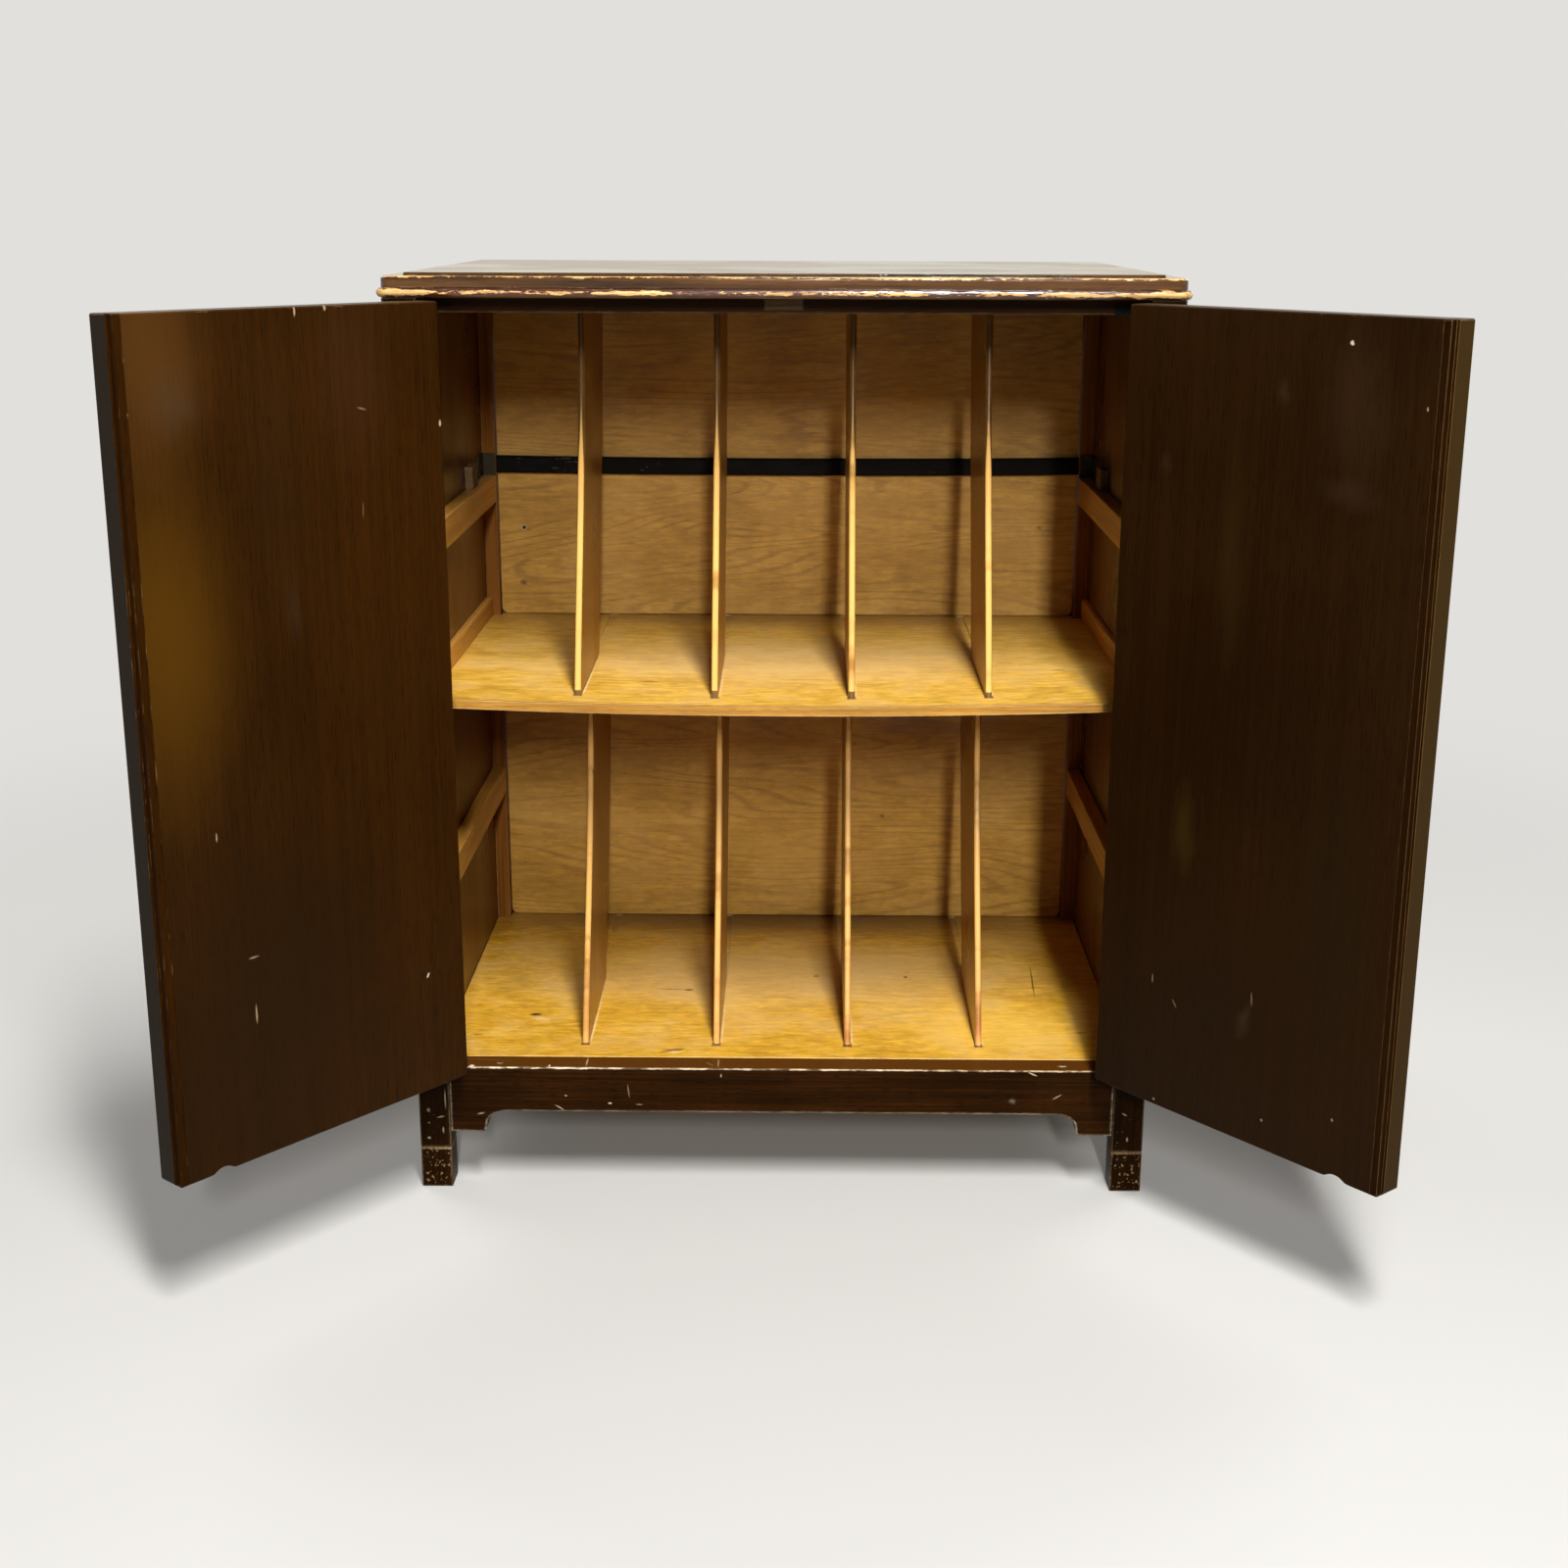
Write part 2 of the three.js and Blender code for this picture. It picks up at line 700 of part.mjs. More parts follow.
// A swept divider: its front and back edges are the same slow double curve.
function divider(x, [foot, head], depth, lowAt, highAt) {
  const run = head - foot;
  const edge = (setback) => {
    const low = lowAt(foot + setback);
    const rise = highAt(head + setback) - low;
    const place = (runShare, riseShare) => [foot + setback + run * runShare, low + rise * riseShare];
    return [
      place(0, 0),
      place(dividerCurveShares.lowRun, dividerCurveShares.lowRise),
      place(dividerCurveShares.highRun, dividerCurveShares.highRise),
      place(1, 1),
    ];
  };
  const front = edge(0);
  const back = edge(depth);
  const outline = new THREE.Shape();
  outline.moveTo(...front[0]);
  outline.lineTo(...back[0]);
  outline.bezierCurveTo(...back[1], ...back[2], ...back[3]);
  outline.lineTo(...front[3]);
  outline.bezierCurveTo(...front[2], ...front[1], ...front[0]);
  return uprightPlate(outline, x, dividerThickness, dividerRound);
}

function upperDivider(x) {
  const low = (y) => shelfHeightAt(x, y) - dividerGrooveDepth + seat + sagAllowance;
  return divider(x, [upperDividerFoot, upperDividerHead], upperDividerDepth, low, () => topUnderside - seat);
}

function lowerDivider(x) {
  const low = () => apronTop - dividerGrooveDepth + seat;
  const high = (y) => shelfHeightAt(x, y) - shelfThickness + dividerGrooveDepth - seat - sagAllowance;
  return divider(x, [lowerDividerFoot, lowerDividerHead], lowerDividerDepth, low, high);
}

// Side battens, flush with the posts
function sideBatten(bottom) {
  const across = [seat - sidePanelInner, -openingSide];
  return board(across, [postSize + seat, postBack - seat], [bottom, bottom + battenHeight]);
}

// Back panels
function backPanel(low, high) {
  const side = openingSide - seat;
  const outline = new THREE.Shape();
  outline.moveTo(-side, high);
  outline.lineTo(-side, low + backPanelCorner);
  const centre = low + backPanelCorner;
  outline.absarc(backPanelCorner - side, centre, backPanelCorner, Math.PI, 1.5 * Math.PI);
  outline.lineTo(side - backPanelCorner, low);
  outline.absarc(side - backPanelCorner, centre, backPanelCorner, 1.5 * Math.PI, 2 * Math.PI);
  outline.lineTo(side, high);
  outline.closePath();
  return facingPlate(outline, backPanelFront, backPanelThickness, ease);
}

// Rail that stops the doors at the top
function stopBlockLimits(clearance) {
  const top = topUnderside - seat;
  const front = shelfFront - stopBlockProud;
  return [
    [-stopBlockWidth / 2 - clearance, stopBlockWidth / 2 + clearance],
    [front - clearance, front + stopBlockThickness + clearance],
    [top - stopBlockHeight - clearance, top + clearance],
  ];
}

function stopRail() {
  const side = openingSide - seat;
  const top = topUnderside - seat;
  const depths = [shelfFront, shelfFront + stopRailThickness];
  const strip = board([-side, side], depths, [top - stopRailHeight, top]);
  const [across, deep, high] = stopBlockLimits(seat);
  return cut(strip, block(across, [deep[0] - overrun, deep[1]], [high[0], high[1] + overrun]));
}

function stopBlock() {
  return board(...stopBlockLimits(0), fineEase);
}

// Buffer strip behind the records
function bufferStrip() {
  const side = openingSide - seat;
  const stripBack = backPanelFront - seat;
  const deep = [stripBack - stripThickness, stripBack];
  const outline = new THREE.Shape([
    new THREE.Vector2(deep[0] + stripRound, stripTop - stripHeight),
    new THREE.Vector2(deep[1], stripTop - stripHeight),
    new THREE.Vector2(deep[1], stripTop),
    new THREE.Vector2(deep[0] + stripRound, stripTop),
    new THREE.Vector2(deep[0], stripTop - stripRound),
    new THREE.Vector2(deep[0], stripTop - stripHeight + stripRound),
  ]);
  const geometry = new THREE.ExtrudeGeometry(outline, {
    depth: 2 * side,
    steps: stripSteps,
    bevelEnabled: false,
  });
  geometry.applyMatrix4(new THREE.Matrix4().makeBasis(
    new THREE.Vector3(0, 1, 0),
    new THREE.Vector3(0, 0, 1),
    new THREE.Vector3(1, 0, 0),
  ));
  geometry.translate(-side, 0, 0);
  const places = geometry.attributes.position;
  for (let i = 0; i < places.count; i++) {
    const share = places.getX(i) / side;
    places.setZ(i, places.getZ(i) - stripSag * (1 - share * share));
  }
  return solidOf(geometry);
}

// A small folded plate in the corner where the strip meets the back post: one
// leaf lies along the side panel and the other across the post.
function stripPlate() {
  const outer = seat - sidePanelInner;
  const back = postBack - seat;
  const low = upperBattenBottom + battenHeight + seat;
  const heights = [low, low + stripPlateHeight];
  const along = block([outer, outer + stripPlateThickness], [back - stripPlateDepth, back], heights);
  const across = block([outer, -openingSide - seat], [back - stripPlateThickness, back], heights);
  return join(along, across);
}

function stripBlock() {
  const outer = seat - sidePanelInner;
  const back = postBack - stripBlockSetback;
  const low = upperBattenBottom + battenHeight + seat;
  const across = [outer, outer + stripBlockThickness];
  return board(across, [back - stripBlockDepth, back], [low, low + stripBlockHeight], fineEase);
}

// Doors and hinges, in a frame whose Z axis is the left hinge's axis and whose
// X axis runs along the closed door.
const hingeHeights = [doorBottom + hingeInset, doorTop - hingeInset];

// Seats for the leaves between two limits across, from the front of the wood.
function leafRecesses(across, front) {
  const deep = [front - overrun, front + leafWidth + seat];
  const half = leafHeight / 2 + seat;
  return hingeHeights.map((middle) => block(across, deep, [middle - half, middle + half]));
}

const doorLeft = hingeGap / 2;
const doorRight = doorLeft + doorWidth;
const doorDepths = [-axisFront, doorThickness - axisFront];

// The door's whole outline, before its free edge is parted from its panel. The
// foot of the free edge is rounded.
function doorSlab() {
  const slab = board([doorLeft, doorRight], doorDepths, [doorBottom, doorTop], doorEase);
  const outline = new THREE.Shape();
  outline.moveTo(doorLeft - overrun, doorBottom);
  outline.lineTo(doorRight - doorCornerRadius, doorBottom);
  const corner = [doorRight - doorCornerRadius, doorBottom + doorCornerRadius];
  outline.absarc(...corner, doorCornerRadius, -Math.PI / 2, 0);
  outline.lineTo(doorRight, doorTop + overrun);
  outline.lineTo(doorLeft - overrun, doorTop + overrun);
  outline.closePath();
  return slab.intersect(facingPlate(outline, doorDepths[0] - overrun, doorThickness + 2 * overrun));
}

// The part of the door's thickness and height between two limits across it.
function doorPart(across) {
  const [front, back] = doorDepths;
  return block(across, [front - overrun, back + overrun], [doorBottom - overrun, doorTop + overrun]);
}

function doorPanel() {
  const [front] = doorDepths;
  const panel = doorSlab().intersect(doorPart([doorLeft - overrun, doorRight - edgeStripWidth - seat]));
  const hollow = scoop(doorRight - scoopPlace, front - overrun, doorThickness + 2 * overrun);
  return cut(panel, hollow, ...leafRecesses([doorLeft - overrun, doorLeft + leafThickness + seat], front));
}

// The strip along the free edge, with a step on its inner side.
function doorEdgeStrip() {
  const [, back] = doorDepths;
  const strip = doorSlab().intersect(doorPart([doorRight - edgeStripWidth, doorRight + overrun]));
  const step = block(
    [doorRight - rebateWidth, doorRight + overrun],
    [back - rebateDepth, back + overrun],
    [doorBottom - overrun, doorTop + overrun],
  );
  return cut(strip, step);
}

// A shallow hollow in the door's lower edge, for a fingertip.
function scoop(middle, front, depth) {
  const half = scoopWidth / 2;
  const high = doorBottom + scoopRise;
  const outline = new THREE.Shape();
  outline.moveTo(middle - half, doorBottom - overrun);
  outline.lineTo(middle + half, doorBottom - overrun);
  outline.lineTo(middle + half, doorBottom);
  outline.bezierCurveTo(middle + half / 2, doorBottom, middle + half / 2, high, middle, high);
  outline.bezierCurveTo(middle - half / 2, high, middle - half / 2, doorBottom, middle - half, doorBottom);
  outline.closePath();
  return facingPlate(outline, front, depth);
}

function upright(radius, [z0, z1]) {
  const geometry = new THREE.CylinderGeometry(radius, radius, z1 - z0, knuckleFacets);
  geometry.rotateX(Math.PI / 2);
  geometry.translate(0, 0, (z0 + z1) / 2);
  return solidOf(geometry);
}

// One leaf of a butt hinge with its share of the knuckles. The post's leaf has
// the first, third and last knuckle, and the door's leaf the ones between them.
function hingeLeaf(middle, owner) {
  const low = middle - leafHeight / 2;
  const high = middle + leafHeight / 2;
  const pitch = leafHeight / knucklesPerHinge;
  const outer = owner === "post" ? -hingeGap / 2 - leafThickness : hingeGap / 2;
  let leaf = board([outer, outer + leafThickness], [0, leafWidth - axisFront], [low, high], leafEase);
  for (let i = 0; i < knucklesPerHinge; i++) {
    const isFirst = i === 0;
    const isLast = i === knucklesPerHinge - 1;
    const from = low + i * pitch;
    const to = from + pitch;
    if ((i % 2 === 0) === (owner === "post")) {
      const own = [isFirst ? low : from + knuckleGap / 2, isLast ? high : to - knuckleGap / 2];
      leaf = join(leaf, upright(knuckleRadius, own));
    } else {
      const under = isFirst ? low - overrun : from - knuckleGap / 2;
      const over = isLast ? high + overrun : to + knuckleGap / 2;
      leaf = cut(leaf, upright(knuckleRadius + seat, [under, over]));
    }
  }
  return cut(leaf, upright(knuckleBore, [low - overrun, high + overrun]));
}

// A loose pin with a turned tip at each end.
function hingePin(middle) {
  const half = leafHeight / 2 + seat;
  const tip = [
    new THREE.Vector2(pinRadius, half),
    new THREE.Vector2(pinTipRadius, half),
    new THREE.Vector2(pinTipRadius, half + pinTipHeight / 2),
    new THREE.Vector2(pinTipRadius * pinTipShares.radius, half + pinTipHeight * pinTipShares.height),
    new THREE.Vector2(0, half + pinTipHeight),
  ];
  const foot = tip.map((point) => new THREE.Vector2(point.x, -point.y)).reverse();
  const outline = [...foot, ...tip];
  const geometry = new THREE.LatheGeometry(outline, knuckleFacets);
  geometry.rotateX(Math.PI / 2);
  geometry.translate(0, 0, middle);
  return solidOf(geometry);
}

// Finishes
const finish = (color, roughness, metalness = 0) => {
  return new THREE.MeshStandardMaterial({ color, roughness, metalness });
};
const darkWood = () => finish(0x3a2015, 0.38);
const doorWood = () => finish(0x3c2312, 0.42);
const topWood = () => finish(0x4a2f20, 0.22);
const wornWood = () => finish(0xb98a55, 0.55);
const plywood = () => finish(0xcf9c4e, 0.5);
const backPly = () => finish(0xb58a48, 0.55);
const dividerWood = () => finish(0xa8743a, 0.4);
const honeyWood = () => finish(0xb57a35, 0.5);
const bareWood = () => finish(0x8a6038, 0.7);
const sideVeneer = () => finish(0x6b431f, 0.5);
const blackFelt = () => finish(0x12100f, 0.85);
const steel = () => finish(0x9a958c, 0.45, 0.9);
const brass = () => finish(0x8f6a33, 0.4, 0.9);

// The mesh of a solid, placed by its own middle.
function piece(name, solid, material) {
  const geometry = geometryOf(solid);
  geometry.computeBoundingBox();
  const middle = geometry.boundingBox.getCenter(new THREE.Vector3());
  geometry.translate(-middle.x, -middle.y, -middle.z);
  const mesh = new THREE.Mesh(geometry, material);
  mesh.name = name;
  mesh.position.copy(middle);
  return mesh;
}

function pair(name, solid, material) {
  return [piece(`${name}_left`, solid, material()), piece(`${name}_right`, mirrored(solid), material())];
}

function group(...members) {
  const made = new THREE.Group();
  made.add(...members.flat());
  return made;
}

function topGroup() {
  return group(
    piece("top_board", topBoard(), topWood()),
    piece("front_bead", frontBead(), wornWood()),
    pair("side_bead", leftBead(), wornWood),
  );
}

function caseGroup() {
  const [lowBack, middleBack, topBackRail] = backRailHeights();
  return group(
    pair("front_post", frontPost(), darkWood),
    pair("back_post", backPost(), darkWood),
    piece("front_apron", apron(), darkWood()),
    pair("lower_side_rail", lowerSideRail(), darkWood),
    pair("upper_side_rail", upperSideRail(), darkWood),
    pair("side_panel", sidePanel(), sideVeneer),
    piece("lower_back_rail", backRail(lowBack), darkWood()),
    piece("middle_back_rail", backRail(middleBack), darkWood()),
    piece("upper_back_rail", backRail(topBackRail), darkWood()),
    piece("lower_back_panel", backPanel(apronTop + seat, shelfUnderside - seat), backPly()),
    piece("upper_back_panel", backPanel(shelfTop + seat, topUnderside - seat), backPly()),
    piece("door_stop_rail", stopRail(), darkWood()),
    piece("door_stop_block", stopBlock(), bareWood()),
  );
}

function insideGroup() {
  const dividers = [];
  dividerPlaces().forEach((x, i) => {
    dividers.push(piece(`upper_divider_${i + 1}`, upperDivider(x), dividerWood()));
    dividers.push(piece(`lower_divider_${i + 1}`, lowerDivider(x), dividerWood()));
  });
  return group(
    piece("floor_panel", floorPanel(), plywood()),
    piece("shelf", shelfBoard(), plywood()),
    piece("shelf_lipping", shelfLipping(), plywood()),
    pair("shelf_strip", shelfStrip(), honeyWood),
    dividers,
    pair("upper_batten", sideBatten(upperBattenBottom), honeyWood),
    pair("lower_batten", sideBatten(lowerBattenBottom), honeyWood),
    piece("buffer_strip", bufferStrip(), blackFelt()),
    pair("strip_plate", stripPlate(), steel),
    pair("strip_block", stripBlock(), bareWood),
  );
}

// A door hangs on the axis of its hinges, and its group is turned to open it.
function doorGroup(side) {
  const way = side === "left" ? -1 : 1;
  const handed = (solid) => (side === "left" ? solid : mirrored(solid));
  const hung = group(
    piece(`${side}_door`, handed(doorPanel()), doorWood()),
    piece(`${side}_door_edge_strip`, handed(doorEdgeStrip()), doorWood()),
  );
  const fixed = new THREE.Group();
  hingeHeights.forEach((middle, i) => {
    const level = i === 0 ? "lower" : "upper";
    hung.add(piece(`${side}_${level}_hinge_door_leaf`, handed(hingeLeaf(middle, "door")), brass()));
    fixed.add(piece(`${side}_${level}_hinge_post_leaf`, handed(hingeLeaf(middle, "post")), brass()));
    fixed.add(piece(`${side}_${level}_hinge_pin`, handed(hingePin(middle)), brass()));
  });
  hung.rotation.z = way * doorOpenAngle;
  const placed = group(hung, fixed);
  placed.position.set(way * axisSide, axisFront, 0);
  return placed;
}

// The cabinet stands on the origin, which is under the middle of its box with
// the doors open.
function recordCabinet() {
  const cabinet = group(topGroup(), caseGroup(), insideGroup(), doorGroup("left"), doorGroup("right"));
  const box = new THREE.Box3().setFromObject(cabinet, true);
  cabinet.position.y = -(box.min.y + box.max.y) / 2;
  const model = new THREE.Group();
  model.add(cabinet);
  return model;
}

export default recordCabinet();
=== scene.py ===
"""A record cabinet: ten bays behind two doors that swing far out, under a worn moulded top.

The packed model is loaded as a fixed frame. Each sub-assembly below dresses its own nodes
with a procedural finish and adds the small fittings that it carries. Sizes are in metres.
"""

import itertools
import logging
import math
from dataclasses import dataclass, replace
from enum import Enum
from typing import Iterable, Optional, Union

import bmesh
import bpy
from mathutils import Matrix, Vector


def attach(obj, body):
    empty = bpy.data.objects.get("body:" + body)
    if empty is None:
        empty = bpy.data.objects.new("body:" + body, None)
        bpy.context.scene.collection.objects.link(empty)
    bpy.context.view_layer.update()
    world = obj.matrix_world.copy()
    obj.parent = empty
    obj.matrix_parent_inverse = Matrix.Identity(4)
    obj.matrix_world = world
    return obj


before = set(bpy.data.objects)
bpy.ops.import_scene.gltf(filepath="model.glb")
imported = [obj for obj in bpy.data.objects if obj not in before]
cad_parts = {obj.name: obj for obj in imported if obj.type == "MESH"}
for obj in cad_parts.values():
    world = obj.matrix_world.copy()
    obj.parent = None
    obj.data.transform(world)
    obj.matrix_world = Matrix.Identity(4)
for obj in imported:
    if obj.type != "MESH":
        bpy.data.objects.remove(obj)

LOG = logging.getLogger("record_cabinet")

Point = tuple[float, float, float]
Paint = tuple[int, int, int]
Colour = tuple[float, float, float, float]
Socket = bpy.types.NodeSocket
Value = Union[float, Point, Colour, Socket]
STILL: Point = (0.0, 0.0, 0.0)


def linear(paint: Paint) -> Colour:
    """Turns a colour as a screen shows it into the renderer's own scale.

    Args:
        paint: Red, green and blue from 0 to 255.

    Returns:
        The linear colour with a full alpha.
    """
    parts = [level / 255 for level in paint]
    red, green, blue = (
        part / 12.92 if part <= 0.04045 else ((part + 0.055) / 1.055) ** 2.4 for part in parts
    )
    return red, green, blue, 1.0


def bearing(azimuth: float, height: float) -> Vector:
    """Returns the way out from the cabinet at a turn to the right and a height, in radians."""
    level = math.cos(height)
    return Vector((math.sin(azimuth) * level, -math.cos(azimuth) * level, math.sin(height)))


def shared(paint: Paint, shares: Point) -> Colour:
    """Returns a paint's linear colour with a share of its red, green and blue."""
    red, green, blue = (part * share for part, share in zip(linear(paint), shares))
    return red, green, blue, 1.0


class Grain(Enum):
    """The way that the grain of a board runs, as the axis that it follows."""

    ACROSS = 0
    DEEP = 1
    UPRIGHT = 2

    def stretch(self, across: float, along: float) -> Point:
        """Returns the scale on each axis for lines that run with the grain.

        Args:
            across: Features a metre at right angles to the grain.
            along: Features a metre along the grain.

        Returns:
            The scale on x, y and z.
        """
        scale = [across, across, across]
        scale[self.value] = along
        return scale[0], scale[1], scale[2]


class Tree:
    """A node tree, with short calls for its nodes."""

    def __init__(self, owner: Union[bpy.types.Material, bpy.types.World]) -> None:
        """Takes over an owner's tree and empties it.

        Args:
            owner: The material or world.
        """
        owner.use_nodes = True
        self.tree = owner.node_tree
        self.tree.nodes.clear()

    def put(self, socket: Socket, value: Value) -> None:
        """Links a socket to another, or sets its number or colour.

        Args:
            socket: The input that is set.
            value: What it gets.
        """
        if isinstance(value, Socket):
            self.tree.links.new(value, socket)
        else:
            socket.default_value = value

    def add(
        self,
        kind: str,
        inputs: Optional[dict[Union[str, int], Value]] = None,
        settings: Optional[dict[str, object]] = None,
    ) -> bpy.types.Node:
        """Adds a shader node.

        Args:
            kind: The node's type without its common first word.
            inputs: Values for its sockets, by name or place.
            settings: Its own options.

        Returns:
            The node.
        """
        node = self.tree.nodes.new("ShaderNode" + kind)
        for key, value in (settings or {}).items():
            setattr(node, key, value)
        for key, value in (inputs or {}).items():
            self.put(node.inputs[key], value)
        return node

    def math(
        self, operation: str, first: Value, second: Value = 0.0, clamp: bool = False
    ) -> Socket:
        """Does the Math node's operation on one or two numbers."""
        settings = {"operation": operation, "use_clamp": clamp}
        return self.add("Math", {0: first, 1: second}, settings).outputs[0]


class Graph(Tree):
    """One material's node tree round a single shader, with the sums that the finishes use."""

    def __init__(self, name: str) -> None:
        """Starts a material with one shader.

        Args:
            name: The material's name.
        """
        self.material = bpy.data.materials.new(name)
        super().__init__(self.material)
        self.shader = self.add("BsdfPrincipled")
        self.output = self.add("OutputMaterial", {"Surface": self.shader.outputs[0]})
        self.place = self.add("TexCoord").outputs["Object"]

    def shade(self, socket: str, value: Value) -> None:
        """Sets or links the shader's socket of that name."""
        self.put(self.shader.inputs[socket], value)

    def product(self, *parts: Value) -> Socket:
        """Multiplies several numbers.

        Args:
            parts: Two numbers or more.

        Returns:
            Their product.
        """
        result = parts[0]
        for part in parts[1:]:
            result = self.math("MULTIPLY", result, part)
        return result

    def scaled(
        self, where: Value, scale: Point, turn: Point = STILL, shift: Point = STILL
    ) -> Socket:
        """Turns, then stretches a place.

        Args:
            where: The place.
            scale: The scale on each axis.
            turn: The turn about each axis in radians.
            shift: What is added at the end.

        Returns:
            The new place.
        """
        inputs = {"Vector": where, "Rotation": turn}
        turned = self.add("Mapping", inputs).outputs[0] if any(turn) else where
        return self.add("Mapping", {"Vector": turned, "Scale": scale, "Location": shift}).outputs[0]

    def noise(
        self, where: Value, detail: float = 2.0, rough: float = 0.5, warp: float = 0.0
    ) -> Socket:
        """Makes noise around a half at a place that is already scaled."""
        inputs = {
            "Vector": where, "Scale": 1.0, "Detail": detail, "Roughness": rough, "Distortion": warp,
        }
        return self.add("TexNoise", inputs).outputs[0]

    def cloud(
        self, scale: Point, detail: float = 2.0, rough: float = 0.5, warp: float = 0.0,
        shift: Point = STILL,
    ) -> Socket:
        """Makes noise around a half at the object's own place, scaled and shifted."""
        return self.noise(self.scaled(self.place, scale, shift=shift), detail, rough, warp)

    def strokes(
        self, size: float, reach: float, width: float, share: float, shift: float = 0.0
    ) -> Socket:
        """Scatters short straight strokes that point every way, as scratches do.

        Args:
            size: How far apart the cells are that may hold one, in metres.
            reach: Half of the longest stroke, in cells.
            width: Half of a stroke's width, in cells.
            share: The share of the cells that hold one.
            shift: Moves the pattern, so that two of them differ.

        Returns:
            1 on a stroke, 0 beside it.
        """
        where = self.scaled(self.place, (1 / size,) * 3, shift=(shift, shift, shift))
        cell = self.add("TexVoronoi", {"Vector": where, "Scale": 1.0})
        near = self.vector("SUBTRACT", where, cell.outputs["Position"])
        aim = self.vector("SUBTRACT", cell.outputs["Color"], (0.5, 0.5, 0.5))
        across = self.math("ABSOLUTE", self.dot(near, self.vector("NORMALIZE", aim)))
        thin = self.fade(across, width * 0.5, width, 1.0, 0.0)
        short = self.fade(cell.outputs["Distance"], reach * 0.6, reach, 1.0, 0.0)
        chance = self.add("SeparateXYZ", {0: cell.outputs["Color"]}).outputs[1]
        return self.product(thin, short, self.math("LESS_THAN", chance, share))

    def vector(self, operation: str, first: Value, second: Value = STILL) -> Socket:
        """Does the Vector Math node's operation on one or two places."""
        return self.add("VectorMath", {0: first, 1: second}, {"operation": operation}).outputs[0]

    def dot(self, first: Value, second: Value) -> Socket:
        """Measures a place along a direction."""
        settings = {"operation": "DOT_PRODUCT"}
        return self.add("VectorMath", {0: first, 1: second}, settings).outputs[1]

    def length(self, where: Value) -> Socket:
        """Returns how far a place is from the middle."""
        return self.add("VectorMath", {0: where}, {"operation": "LENGTH"}).outputs[1]

    def lit(self, colour: Value, tone: Value) -> Socket:
        """Makes a colour lighter or darker; a tone of 1 leaves it as it is."""
        return self.add("VectorMath", {0: colour, 3: tone}, {"operation": "SCALE"}).outputs[0]

    def waves(self, hills: Value, lines: float) -> Socket:
        """Draws the contour lines of a height, so many from 0 to 1."""
        return self.math("SINE", self.product(hills, lines * 2 * math.pi))

    def off(self, value: Value, middle: Value) -> Socket:
        """Returns how far a number is from another, either way."""
        return self.math("ABSOLUTE", self.math("SUBTRACT", value, middle))

    def fade(
        self, value: Value, start: Value, end: Value, low: float = 0.0, high: float = 1.0
    ) -> Socket:
        """Goes smoothly from low to high while the value goes from start to end."""
        inputs = {0: value, 1: start, 2: end, 3: low, 4: high}
        return self.add("MapRange", inputs, {"interpolation_type": "SMOOTHSTEP"}).outputs[0]

    def mix(self, share: Value, first: Value, second: Value, blend: str = "MIX") -> Socket:
        """Mixes two colours, where share is the second one's."""
        settings = {"data_type": "RGBA", "blend_type": blend}
        return self.add("Mix", {0: share, 6: first, 7: second}, settings).outputs[2]

    def axes(self) -> tuple[Socket, Socket, Socket]:
        """Returns the three parts of the place: x, y and z."""
        return tuple(self.add("SeparateXYZ", {0: self.place}).outputs)

    def arris(self, width: float) -> Socket:
        """Finds the edges between faces.

        Args:
            width: How far from the edge it reaches, in metres.

        Returns:
            From 0 on a flat face to about 1 at a square edge.
        """
        rounded = self.add("Bevel", {"Radius": width}, {"samples": 3}).outputs[0]
        flat = self.add("NewGeometry").outputs["True Normal"]
        return self.fade(self.dot(rounded, flat), 0.72, 0.995, 1.0, 0.0)

    def finish(
        self, colour: Value, rough: Value, specular: float, height: Value, relief: float,
        soft: float,
    ) -> bpy.types.Material:
        """Sets the shader's colour, gloss and relief, on edges that catch the light.

        Args:
            colour: The surface's colour.
            rough: Its roughness.
            specular: Its specular level.
            height: The height of its relief, from 0 to 1.
            relief: What 1 stands for, in metres.
            soft: The radius of its edges.

        Returns:
            The material.
        """
        self.shade("Base Color", colour)
        self.shade("Roughness", rough)
        self.shade("Specular IOR Level", specular)
        rounded = self.add("Bevel", {"Radius": soft}, {"samples": 2}).outputs[0]
        bump = {"Strength": 1.0, "Distance": relief, "Height": height, "Normal": rounded}
        self.shade("Normal", self.add("Bump", bump).outputs[0])
        return self.material


@dataclass(frozen=True)
class Patch:
    """A spot on the surface with its own colour: a knot, a stain, a rubbed place, a crack, or painted
    light or shade.
    """

    centre: Point
    size: Point
    paint: Paint
    share: float = 1.0
    soft: float = 0.6
    ragged: float = 0.3
    turn: Point = STILL
    sunk: float = 0.0

    def mask(self, graph: Graph) -> Socket:
        """Finds how much of the patch shows at each place.

        Args:
            graph: The material.

        Returns:
            From 0 outside to its share in the middle.
        """
        shifted = graph.vector("SUBTRACT", graph.place, self.centre)
        near = graph.scaled(shifted, tuple(1 / size for size in self.size), self.turn)
        reach = graph.length(near)
        if self.ragged:
            wobble = graph.noise(graph.scaled(near, (1.7, 1.7, 1.7)), 3.0, 0.6)
            wobble = graph.math("SUBTRACT", wobble, 0.5)
            reach = graph.math("ADD", reach, graph.product(wobble, self.ragged * 3))
        return graph.fade(reach, 1 - self.soft, 1.0, self.share, 0.0)


